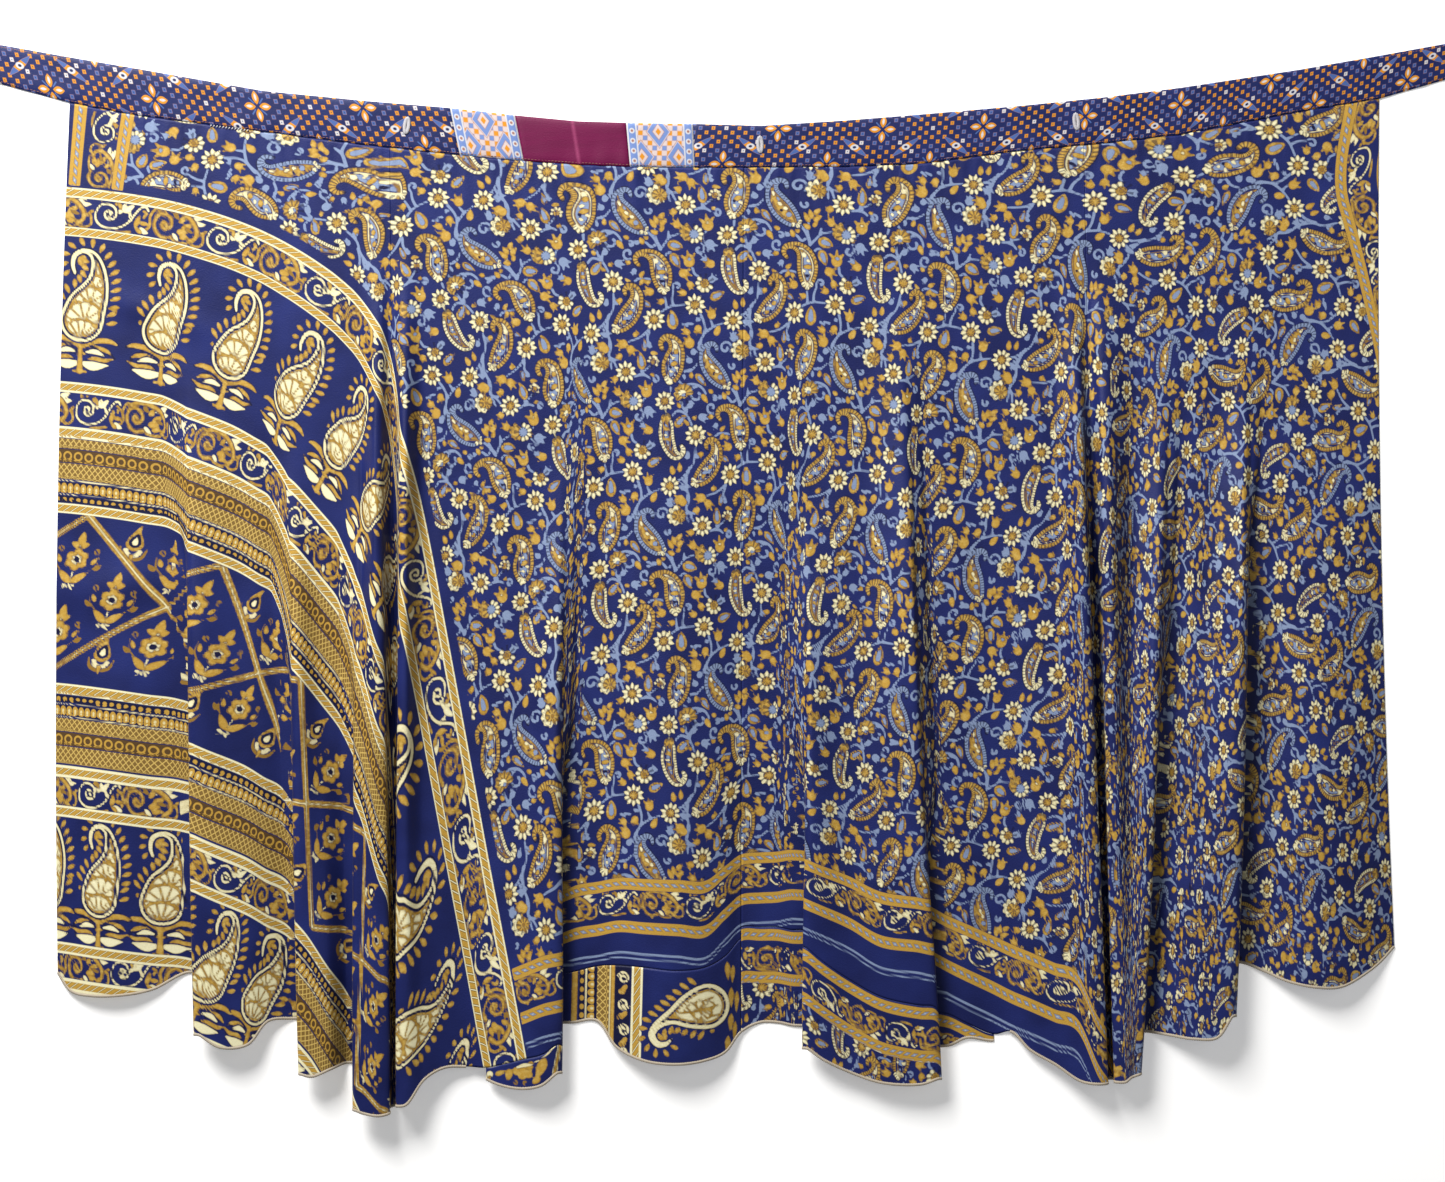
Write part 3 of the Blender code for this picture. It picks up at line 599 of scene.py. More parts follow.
scrollVines = (
    ((38, 38), (43, 31), (42, 22), (46, 14), (53, 12.5)), ((86, 38), (94, 41), (101, 37), (100, 28)),
    ((12, 16), (8, 13), (5, 17)), ((95, 30), (101, 24), (106, 26)), ((24, 40), (14, 42), (4, 41.5)),
    ((70, 40), (78, 41.5), (85, 41)), ((36, 24), (38, 19), (35, 18)),
)


def paintScrolls(cloth, start):
    # White and gold spirals that open into leaves, one pair in each repeat
    cloth.repeat = rowRepeat(palluLook["scrollPitch"])

    def moved(points):
        return [(x, y - 10 + start) for x, y in points]
    for path in scrollVines:
        stroke(cloth, gold, moved(path), 1.5)
    for x0, y0, x1, y1, width, ink in scrollLeaves:
        (x0, y0), (x1, y1) = moved(((x0, y0), (x1, y1)))
        leaf(cloth, x0, y0, x1, y1, 0.8 * width, ink)
    for path, ink, edge, width in (
        (goldArch, gold, ochre, 2.1), (goldSpiral, gold, ochre, 1.6),
        (whiteSpiral, cream, dark, 1.25),
    ):
        stroke(cloth, edge, moved(path), width + 0.9, 3)
        stroke(cloth, ink, moved(path), width, 3)


bigPaisleyPath = ((-9.4, 94), (-12, 86), (-10.5, 76), (-2, 71), (7, 75), (12, 86), (13, 101),
                  (9.5, 115), (4, 127), (0.5, 140.5))
bigPaisleyRadii = (1.6, 2.1, 2.5, 2.7, 4, 6.6, 10.5, 15.5, 19.8, 22)
footLeaves = (
    (((0, 168), (-14, 160), (-28, 158.5), (-36, 161)), (1.5, 2.7, 2.6, 1), gold),
    (((-3, 174), (-14, 167.5), (-25, 168), (-31, 171.5)), (1.2, 2.4, 2.2, 0.8), gold),
    (((-6, 171.5), (-15, 170.5), (-24, 173.5)), (1.2, 2.6, 0.8), cream),
    (((-2, 186), (-12, 178.5), (-24, 178.5), (-35, 175)), (1.2, 2.8, 2.4, 0.6), gold),
    (((-4, 183.5), (-14, 185), (-29, 182.5)), (2.6, 4.6, 0.7), cream),
)
# Inside a big paisley: the foot of each fan of petals, its reach and number of petals
fans = ((12, 96, 13, 3), (11, 107, 14, 3), (7, 123, 18, 5), (3, 141, 21, 5), (0.5, 160, 22, 7))


def edgeLeaves(cloth, path, radii, side, first, pitch):
    # Gold leaves stand evenly along one side of a shape's outline, leaning back to its start
    ahead = np.gradient(path, axis=0)
    ahead /= np.hypot(*ahead.T)[:, None]
    edge = path + side * (radii[:, None] + 2.4) * np.stack([ahead[:, 1], -ahead[:, 0]], axis=1)
    way = np.concatenate([[0], np.cumsum(np.hypot(*np.diff(edge, axis=0).T))])
    for place in np.arange(first, way[-1] + 2, pitch):
        root = np.array([np.interp(place, way, edge[:, k]) for k in (0, 1)])
        later = np.array([np.interp(place + 3, way, edge[:, k]) for k in (0, 1)])
        along = (later - root) / (np.hypot(*(later - root)) + 1e-6)
        out = side * np.array([along[1], -along[0]])
        long = 5 + 6 * min(1, place / way[-1] + (0.3 if side > 0 else 0))
        tip = root + long * (0.9 * out - 0.42 * along)
        stroke(cloth, gold, (root, 0.4 * root + 0.6 * tip, tip), (0.9, 2.5, 1))


def paintBigPaisleys(cloth, start, pitch):
    # Tall hooked paisleys, each on a foot of leaves, with a white outline edged by gold leaves
    cloth.repeat = rowRepeat(pitch)
    path, radii = smoothPath(bigPaisleyPath, bigPaisleyRadii, 5)
    for side in (1, -1):
        for points, widths, ink in footLeaves:
            points = [(side * x + 1.5, y + start) for x, y in points]
            stroke(cloth, dark, points, [w + 1 for w in widths])
            stroke(cloth, ink, points, widths)
    stroke(cloth, gold, ((0.5, 162 + start), (1.2, 176 + start), (1.5, 191 + start)), (2.6, 2.2, 3.4))
    stroke(cloth, gold, ((-5, 191.5 + start), (8, 191.5 + start)), 1.4)
    for side, first, leafPitch in ((1, 4, 8.3), (-1, 13, 7.6)):
        edgeLeaves(cloth, path + (0, start), radii, side, first, leafPitch)
    at, distance, body = cloth.body(path - (0, 112), radii, (0, 112 + start), 66)
    cloth.lay(dark, at, distance - 1.3)
    cloth.lay(cream, at, distance + 4.6)
    for x, y, reach, count in fans:
        near, right, down = cloth.near(x, y + start, reach)
        radius = np.hypot(right, down)
        fanStep = 170 / count
        turn = np.degrees(np.arctan2(right, -down)) + (0.5 * fanStep if count % 2 else 0)
        gap = np.radians(np.abs(turn - fanStep * np.round(turn / fanStep))) * radius - 0.9
        lines = np.minimum(np.abs(radius - reach + 1.5) - 1.3, np.minimum(gap, radius - 2.6))
        cloth.lay(cream, near, np.maximum(radius - reach, body[near] + 4.6))
        cloth.lay(gold, near, np.maximum(lines, body[near] + 4.6))
    # The outline goes over everything inside it: gold, dark and white lines
    for ink, inner, half in ((gold, 5.6, 1.1), (dark, 3.8, 0.9), (cream, 1.6, 1.45)):
        cloth.lay(ink, at, np.abs(distance + inner) - half)


def flower(cloth, x, y):
    # A six-petalled flower on a leafy stem, with a bud over it and sprigs at its sides
    vine(cloth, ((x, y + 10), (x - 1, y + 18), (x - 2, y + 29)), 2.2, cream)
    for side in (-1, 1):
        leaf(cloth, x - 1, y + 24, x + side * 15, y + 11, 6.5, gold)
        leaf(cloth, x, y - 13, x + side * 9, y - 17, 5.5, gold)
        curl(cloth, x - 2 + side * 5, y + 27, 3.2, 90, side * 0.6, cream, 1.8)
        curl(cloth, x + side * 18, y - 10, 3.6, 60, side * 0.9, ochre, 1.7)
        leaf(cloth, x + side * 19, y + 9, x + side * 25, y + 3, 4, ochre)
        leaf(cloth, x + side * 15, y + 4, x + side * 19, y - 4, 4, gold)
        vine(cloth, ((x + side * 13, y + 12), (x + side * 19, y + 5), (x + side * 21, y - 5)), 1.5, ochre)
    leaf(cloth, x, y - 15, x + 1, y - 29, 6.5, gold)
    blob(cloth, cream, x, y - 12.5, 1.2, 2)
    petals(cloth, ochre, x, y, 12.3, 6, 4.9, 0.15)
    petals(cloth, gold, x, y, 11.4, 6, 4.3, 0.15)
    petals(cloth, cream, x, y, 5.4, 6, 1.6, 0.3)
    blob(cloth, dark, x, y, 2.7, 2.7)


def teardrop(cloth, x, y):
    # A small drop with a white heart over a fringe of petals
    stroke(cloth, gold, ((x + 2, y - 20), (x, y - 12), (x, y - 2)), (0.8, 3.4, 8.4))
    stroke(cloth, dark, ((x + 1, y - 10), (x, y - 3)), (1.6, 5.6))
    stroke(cloth, cream, ((x + 0.5, y - 7), (x, y - 2.5)), (1.2, 3))
    petals(cloth, cream, x, y + 5, 9, 9, 1.6, 0.45, 90, 190)
    for side in (-1, 1):
        sprig = ((x, y + 16), (x + side * 9, y + 12), (x + side * 12, y + 3))
        stroke(cloth, ochre, sprig, (1.7, 1.7, 0.9))
    stroke(cloth, gold, ((x, y + 12), (x, y + 19)), (2.4, 0.8))


def paintDiamonds(cloth):
    # A lattice of double lines whose diamonds hold flowers, with teardrops in the corners
    pitch = palluLook["diamondPitch"] / palluLook["diamondStretch"]
    middle, half = palluLook["diamondMiddle"], palluLook["diamondHalf"]
    cloth.repeat = rowRepeat(pitch)
    for x, y in ((0, -35), (-0.24 * pitch, 1), (0.24 * pitch, 1), (0, 39), (0.5 * pitch, -43),
                 (0.5 * pitch, 42)):
        flower(cloth, x, middle + y)
    for side in (-1, 1):
        teardrop(cloth, side * 0.27 * pitch, middle - 57)
        teardrop(cloth, side * 0.27 * pitch, middle + 58)
    fold = np.abs(np.mod(cloth.u + 0.5 * pitch, pitch) - 0.5 * pitch)
    slope = half / (0.5 * pitch)
    lower = np.abs(np.abs(cloth.v - middle) - (half - slope * fold)) / math.hypot(1, slope)
    at = np.arange(len(fold))
    inside = np.abs(cloth.v - middle) - half - 2
    cloth.lay(ochre, at, np.maximum(lower - 3.9, inside))
    cloth.lay(gold, at, np.maximum(lower - 3.4, inside))
    cloth.lay(cream, at, np.maximum(lower - 0.8, inside))


def paintBands(cloth, bands):
    # Straight bands: the material draws their ropes, beads and chains from along and off
    at = np.arange(len(cloth.u))
    for first, last, ink in bands:
        middle, half = 0.5 * (first + last), 0.5 * (last - first)
        distance = np.abs(cloth.v - middle) - half
        cloth.lay(ink, at, distance)
        near = distance < 2.5
        cloth.along[near] = cloth.u[near]
        cloth.off[near] = cloth.v[near] - middle
        cloth.notch[near] = farAway


def paintPallu(cloth):
    # The sari's end: bands of scrolls, paisleys and lattice, all crossing the cloth
    along = cloth.u
    for start, shift in palluLook["scrollStarts"]:
        cloth.u = along - shift
        paintScrolls(cloth, start)
    cloth.u = along
    for start, shift, pitch, widen in palluLook["paisleyRows"]:
        outside = np.abs(cloth.v - start - 127) - 69
        cloth.addPart(
            (along - shift) / widen, cloth.v,
            lambda part: paintBigPaisleys(part, start, pitch / widen), outside, 4,
        )
    middle, half = palluLook["diamondMiddle"] + 4, palluLook["diamondHalf"] + 6
    level = 0.5 * (cloth.v - palluLook["diamondMiddle"]) / palluLook["diamondHalf"] + 0.5
    lean = palluLook["diamondLean"] * level
    leant = (along - palluLook["diamondPhase"] + lean) / palluLook["diamondStretch"]
    outside = np.abs(cloth.v - middle) - half
    cloth.addPart(leant, cloth.v, paintDiamonds, outside, 4)
    paintBands(cloth, palluBands)


def paintBorder(cloth):
    # The sari's long edge: small scrolls between two linked ropes; v is px from the field
    scale = 0.79
    part = Print(cloth.u / scale, (cloth.v - 11) / scale + 9.5)
    paintScrolls(part, 10)
    for name in inks:
        cloth.ink[name] = part.ink[name] * scale
    rope, scroll = printLook["borderRope"], printLook["borderScroll"]
    paintBands(cloth, ((0, rope, "link"), (rope + scroll, 2 * rope + scroll, "link")))
    at = np.arange(len(cloth.u))
    for start, half in ((74, 1.2), (79, 0.9)):
        cloth.lay(grey, at, np.abs(cloth.v - start) - half)


def paintSari(u, v):
    # The whole print at places u along the sari and v across it: the field with a border on
    # each side of it, and the pallu over its end
    cloth = Print(u, v)
    top, bottom = printLook["borderTop"], printLook["borderBottom"]
    top = top + printLook["topDrift"] * smoothStep((u - 450) / 150)
    pallu = printLook["palluStart"]
    field = np.maximum(np.maximum(top - v, v - bottom), pallu + printLook["palluMargin"] - u)
    cloth.addPart(u, v, paintField, field)
    beyond = pallu + 2 - u
    for start, way in ((top, -1), (bottom, 1)):
        outside = np.maximum(-way * (v - start), beyond)
        cloth.addPart(u, way * (v - start), paintBorder, outside)
    end = u - pallu
    cloth.addPart(v, -end, paintPallu, end)
    return cloth


# Patches of the same sari are sewn along the hem, charted in the photograph's pixels.
# The middle one's bands: (first, last, ink) from the rope's middle
stripBands = (
    (-66, -60, gold), (-60, -58.6, cream), (-58.6, -53, "dot"), (-53, -50.6, cream),
    (-50.6, -40.4, "bead"), (-40.4, -28.2, "brocade"), (-28.2, -26.6, cream), (-26.6, -22.4, gold),
    (-22.4, -6.6, dark), (-5.6, 5.4, "rope"),
)
stripPaisleyPath = (
    (672, 1035), (666, 1040), (658, 1040), (652.5, 1032), (656, 1023.5), (665, 1016.5),
    (676, 1011.5), (690, 1007.5), (700, 1005), (707, 1003.5),
)
stripPaisleyRadii = (1, 2.4, 3.2, 3.6, 4, 5.5, 9, 16.5, 20.5, 22.5)
# Line work inside it: (path, half width)
stripPaisleyLines = (
    (((672, 1012), (684, 1009), (700, 1007), (718, 1003)), 1),
    (((684, 1009), (689, 1001), (696, 1000)), 0.9), (((690, 1008), (697, 1016), (706, 1017)), 0.9),
    (((700, 1007), (705, 997), (713, 995)), 0.9), (((704, 1006), (712, 1013), (719, 1012)), 0.9),
)
stripLeaves = (
    (727, 960, 728, 979, 5), (733, 964, 732, 982, 4), (731, 986, 731, 1006, 5),
    (737, 990, 736, 1012, 4), (731, 1012, 730, 1030, 5), (728, 1034, 727, 1052, 5),
    (735, 1020, 734, 1040, 4),
)
sprigLeaves = (
    (496.3, 1072.5, 507, 1068, 4.5), (511.4, 1066.5, 508.8, 1078, 6.5), (547, 1054, 537.5, 1075.5, 8.5),
    (533, 1058, 530, 1068, 6), (541, 1073, 534, 1080, 6),
)
sprigLobes = ((518, 1068, 4.2), (523.8, 1071.6, 4.6), (530, 1070.4, 4.2), (524, 1066, 4.4))


def paintLeftStrip(cloth, *_):
    # Plain cloth with a sprig of gold leaves, between a gold line and the end of a rope
    vine(cloth, ((556, 1042), (547, 1052), (534, 1060), (526, 1064), (518, 1065)), 1.8, cream)
    for leafRow in sprigLeaves:
        leaf(cloth, *leafRow)
    for lobeX, lobeY, reach in sprigLobes:
        blob(cloth, gold, lobeX, lobeY, reach, reach)
    stroke(cloth, cream, ((519, 1064), (526, 1061.6), (533, 1061)), (1.2, 1.8, 1))
    for curlX in (517.5, 527):
        curl(cloth, curlX, 1078.8, 3, 60, 0.8, ochre, 1.7)
    stroke(cloth, cream, ((562.6, 1036), (554, 1078)), 2.4)
    stroke(cloth, gold, ((562.6, 1036), (554, 1078)), 1.3)
    stroke(cloth, cream, ((485, 1084), (491, 1072)), 3.2)
    stroke(cloth, gold, ((486, 1084), (490.6, 1075)), 1.6)


def paintMiddleStrip(cloth, *_):
    # Bands of the pallu run down it, and a big paisley lies on its side on plain cloth
    fromRope = cloth.u - 638.3 + (cloth.v - 965) * 0.025
    outside = np.maximum(fromRope - 6.5, -68 - fromRope)
    cloth.addPart(cloth.v, fromRope, lambda part: paintBands(part, stripBands), outside)
    for curlY, turn in ((976, 200), (1002, 20), (1028, 200), (1050, 20)):
        curl(cloth, 624, curlY, 6.6, turn, 1.3, cream, 2.3)
        curl(cloth, 622, curlY + 13, 4.4, turn + 120, 0.8, gold, 2.2)
        leaf(cloth, 628, curlY + 7, 620, curlY + 15, 4.5)
    path, radii = smoothPath(stripPaisleyPath, stripPaisleyRadii, 5)
    for side, first, pitch in ((1, 5, 8.2), (-1, 8, 8)):
        edgeLeaves(cloth, path, radii, side, first, pitch)
    at, distance, body = cloth.body(path - (690, 1012), radii, (690, 1012), 62)
    cloth.lay(dark, at, distance - 1.2)
    cloth.lay(cream, at, distance + 5.4)
    for line, half in stripPaisleyLines:
        stroke(cloth, gold, line, half)
    for petalX, petalY in ((692, 1004), (700, 1001), (710, 1003), (698, 1012), (708, 1011)):
        near, right, down = cloth.near(petalX, petalY, 9)
        ring = np.abs(np.hypot(right, down) - 4) - 0.9
        cloth.lay(gold, near, np.maximum(ring, body[near] + 6))
    for ink, inner, half in ((gold, 6.6, 1.1), (dark, 4.7, 0.8), (cream, 2, 1.95)):
        cloth.lay(ink, at, np.abs(distance + inner) - half)
    for leafRow in stripLeaves:
        leaf(cloth, *leafRow)


def paintRightStrip(cloth, along, below):
    # The border the other way up, then the field
    edge = 2 + 2 * printLook["borderRope"] + printLook["borderScroll"]
    cloth.addPart(along + 60, edge - below, paintBorder, below - edge)
    cloth.addPart(along, below + 18, paintField, edge - below)


stripPaints = {
    "hem_strip_left": paintLeftStrip,
    "hem_strip_middle": paintMiddleStrip,
    "hem_strip_right": paintRightStrip,
}
# What a user would change about the draped cloth
clothLook = {
    "thickness": 0.8,
    "foldLift": 1.3,  # how much fuller the folds stand than in the solid
    "spacing": 2.35,  # mm between points of the front
    "backStep": 5,  # front points for each point of the back
    "puckerHeight": 0.45,
    "puckerPitch": 13,
    "puckerReach": 22,
}
# Soft drag lines: (x, y, angle from +X in degrees, half length, half width, height)
dragFolds = (
    (-470, 300, -58, 70, 9, -1.1), (-300, 330, -72, 60, 8, -1), (-90, 330, -84, 90, 10, 0.9),
    (150, 330, -98, 90, 9, -1), (330, 350, -100, 60, 8, 1), (-560, 210, -20, 60, 14, 1.6),
    (-600, -60, 8, 60, 20, 1.8), (-440, -240, -60, 110, 12, 1.2), (-20, -260, -86, 150, 10, -1.2),
    (250, -150, -80, 170, 14, 1.4), (540, -100, -84, 150, 10, -1.4),
)
# Each panel's first and last column, and the hem strips sewn to it
panels = {
    "skirt_left": ("side_left", "left_crease_bottom", ()),
    "skirt_centre_left": (
        "left_crease_bottom", "middle_seam", ("hem_strip_left", "hem_strip_middle")
    ),
    "skirt_centre_right": ("middle_seam", "right_crease_bottom", ("hem_strip_right",)),
    "skirt_right": ("right_crease_bottom", "side_right", ()),
}
hiddenParts = ("under", "tuck_low", "tuck", "tuck_high", "between", "lip_low")
# How far the print is turned on the cloth, in degrees: (column, at the waist, at the hem,
# how far the cloth is slid down the print at the hem, in px)
printTurns = (
    ("side_left", -86, -88, 0), ("left_lap_approach", -80, -87, 0), ("left_lap_lip", -76, -65, 0),
    ("second_lap_approach", -67, -64, 0), ("second_lap_lip", -63, -44, 0),
    ("third_lap_approach", -56, -42, 0), ("third_lap_lip", -52, -36, 0),
    ("left_crease_left_lip", -42, -34, 0), ("left_crease_right_lip", -26, -12, -125),
    ("strip_start", -20, -12, -48), ("fourth_lap_lip", -17, -12, -48),
    ("fourth_lap_approach", -8, 0, -4), ("middle_pipe_1", -6, 0, 0), ("middle_pipe_4", -4, 0, -13),
    ("middle_seam", -2, 0, 18), ("hollow_3", 0, 0, 20), ("fifth_lap_lip", 4, 17, 40),
    ("fifth_pipe_2", 7, 17, 10), ("sixth_lap_lip", 10, 17, 14), ("sixth_lap_approach", 14, 25, 30),
    ("right_pipe_1", 15, 25, 18), ("right_pipe_4", 17, 25, 14), ("narrow_pipe", 42, 44, 0),
    ("seventh_lap_approach", 54, 54, 0), ("eighth_pipe_2", 60, 60, 0),
    ("eighth_lap_approach", 68, 68, 0), ("side_right", 76, 76, 0),
)
turnStart, turnEnd = 0.1, 0.5
slideStart, slideEnd = 0.5, 0.95
trueLevel = 0.1  # the level along which the cloth is neither gathered nor fanned out
printOrigin = (580, 207)  # the photo pixel where a paisley's middle, the print's origin, lies


def photoPlace(pixelX, pixelY):
    # A place on the skirt in mm from a pixel of the photograph, which looks straight down
    return (pixelX - photoMiddle[0]) * pixelMm, (photoMiddle[1] - pixelY) * pixelMm


def photoPixels(points):
    # The other way round
    return points[..., 0] / pixelMm + photoMiddle[0], photoMiddle[1] - points[..., 1] / pixelMm


def bandY(x, side):
    # y of the band's top edge, side 1, or of its bottom one, side 2
    edges = np.array(bandEdges)
    return np.interp(x, edges[:, 0], edges[:, side])


def unit(vectors):
    # Each vector over its length
    return vectors / np.maximum(np.linalg.norm(vectors, axis=-1, keepdims=True), 1e-9)


def wayAlong(path):
    # Distance along a path at each of its points
    return np.concatenate([[0], np.cumsum(np.linalg.norm(np.diff(path, axis=0), axis=1))])


def upright(points):
    # Straight up at every point
    return np.broadcast_to((0.0, 0.0, 1.0), points.shape)


def smoothStep(value):
    # 3 v^2 - 2 v^3 between 0 and 1
    value = np.clip(value, 0, 1)
    return value * value * (3 - 2 * value)


def lapColumns(name, row):
    # Each column of a lap: flat at first, then closed to its place under or over the lip
    xWaist, xMid, xHem, yTop, yLip, yLow, height, depth, spread, start, close, lean = row
    columns = []
    for part, flat, closed, share, level in lapShape:
        closedMm = approachClosed * spread if closed is None else closed * depth
        yHem = yTop if level == "top" else yLow + levelShares[level] * (yLip - yLow)
        full = start + 0.5 * (1 - start)
        columns.append((
            f"{name}_{part}", xWaist, xMid, xHem, lean * flat * spread, lean * closedMm,
            yHem, share * height, start, full, close,
        ))
    return columns if lean > 0 else columns[::-1]


def creaseColumns(name, row):
    # Each column of a crease: its walls rise from the bottom and lean together
    xWaist, xMid, xHem, yLeft, yRight, height, spread, start, close = row
    columns = []
    for part, flat, closed, share in creaseShape:
        yHem = yLeft + (0.5 + 0.5 * flat) * (yRight - yLeft)
        full = start + 0.4 * (1 - start)
        columns.append((
            f"{name}_{part}", xWaist, xMid, xHem, flat * spread, closed, yHem,
            share * height, start, full, close,
        ))
    return columns


def allColumns():
    # Every fold's columns, from the left side to the right by their x at the waist
    columns = []
    folds = {**openFolds, **lapFolds, **creaseFolds}
    for name in sorted(folds, key=lambda name: folds[name][0]):
        if name in lapFolds:
            columns += lapColumns(name, lapFolds[name])
        elif name in creaseFolds:
            columns += creaseColumns(name, creaseFolds[name])
        else:
            xWaist, xMid, xHem, yHem, height, start = (*openFolds[name], usualStart)[:6]
            columns.append((name, xWaist, xMid, xHem, 0, 0, yHem, height, start, 1, 1))
    return columns


class Drape:
    # The cloth's middle surface in mm, by fold column and by level from waist 0 to hem 1
    def __init__(self, columns):
        self.names = [column[0] for column in columns]
        values = np.array([column[1:] for column in columns], float)
        waist, middle, hem, self.flat, self.closed = values[:, :5].T
        self.yHem, self.height, self.start, self.full, self.close = values[:, 5:].T
        self.bend = 2 * (hem + waist - 2 * middle)
        self.slope = hem - waist - self.bend
        self.waist = waist
        self.yWaist = bandY(waist + self.flat, 2)
        self.length = self.yWaist - self.yHem

    def points(self, rows, level):
        # x runs on a parabola through its three table values and slides from its flat to its
        # closed place; y falls evenly; z rises by a smooth step between two levels
        def take(values):
            return values[rows][:, None]
        shut = (level - take(self.close)) / np.maximum(1 - take(self.close), 1e-6)
        shut = smoothStep(shut) ** 0.7
        risen = smoothStep((level - take(self.start)) / (take(self.full) - take(self.start)))
        x = take(self.waist) + take(self.slope) * level + take(self.bend) * level**2
        x = x + take(self.flat) * (1 - shut) + take(self.closed) * shut
        y = take(self.yWaist) - take(self.length) * level
        z = 0.5 * clothWall + clothLook["foldLift"] * take(self.height) * risen
        return np.dstack([x, y, z])


drape = Drape(allColumns())


def turnedPrint(steps=161):
    # The print coordinates of each column at even levels: a walk across the columns at one
    # level, then up and down each, every step turned by the print's angle there
    at = [drape.names.index(row[0]) for row in printTurns]
    rows = np.arange(len(drape.names))
    along = drape.waist + drape.flat
    top, bottom, slide = (
        np.interp(along, along[at], [row[i] for row in printTurns]) for i in (1, 2, 3)
    )
    level = np.linspace(0, 1, steps)
    share = smoothStep((level - turnStart) / (turnEnd - turnStart))
    angle = np.radians(top[:, None] + (bottom - top)[:, None] * share)
    place = drape.points(rows, np.tile(level, (len(rows), 1)))
    photo = np.stack([place[..., 0], -place[..., 1]], axis=2) / pixelMm

    def turned(step, turn):
        right, down = step[..., 0], step[..., 1]
        return np.stack([
            right * np.cos(turn) + down * np.sin(turn), down * np.cos(turn) - right * np.sin(turn)
        ], axis=-1)
    base = int(round(trueLevel * (steps - 1)))
    across = turned(np.diff(photo[:, base], axis=0), 0.5 * (angle[1:, base] + angle[:-1, base]))
    down = turned(np.diff(photo, axis=1), 0.5 * (angle[:, 1:] + angle[:, :-1]))
    cloth = np.zeros_like(photo)
    cloth[:, 1:] = np.cumsum(down, axis=1)
    cloth -= cloth[:, base:base + 1].copy()
    cloth[1:] += np.cumsum(across, axis=0)[:, None]
    x, y = photoPlace(*printOrigin)
    near = np.hypot(place[..., 0] - x, place[..., 1] - y)
    column, step = np.unravel_index(near.argmin(), near.shape)
    left = np.array([x - place[column, step, 0], place[column, step, 1] - y]) / pixelMm
    cloth -= cloth[column, step] + turned(left, angle[column, step])
    cloth[..., 1] += slide[:, None] * smoothStep((level - slideStart) / (slideEnd - slideStart))
    return level, cloth


printLevels, printPlaces = turnedPrint()


def splineAcross(values, knots, gap, share):
    # Centripetal Catmull-Rom: a cubic across each gap between two columns, whose end slopes
    # come from the columns on both sides, with knots a square root of a chord apart
    before, first, second, after = (values[gap + i] for i in (-1, 0, 1, 2))
    near, here, far = (knots[gap + i][..., None] for i in (-1, 0, 1))
    share = share[:, None, None]
    step = (second - first) / here
    slopeFirst = ((first - before) / near - (second - before) / (near + here) + step) * here
    slopeSecond = (step - (after - first) / (here + far) + (after - second) / far) * here
    square, cube = share**2, share**3
    return (
        (2 * cube - 3 * square + 1) * first + (cube - 2 * square + share) * slopeFirst
        + (3 * square - 2 * cube) * second + (cube - square) * slopeSecond
    )


def dragHeight(x, y):
    # Each drag line is a ridge or trough that fades along and across itself as a bell curve
    height = np.zeros_like(x)
    for middleX, middleY, angle, halfLength, halfWidth, peak in dragFolds:
        turn = math.radians(angle)
        along = (x - middleX) * math.cos(turn) + (y - middleY) * math.sin(turn)
        across = (y - middleY) * math.cos(turn) - (x - middleX) * math.sin(turn)
        height += peak * np.exp(-(along / halfLength) ** 2 - (across / halfWidth) ** 2)
    return height


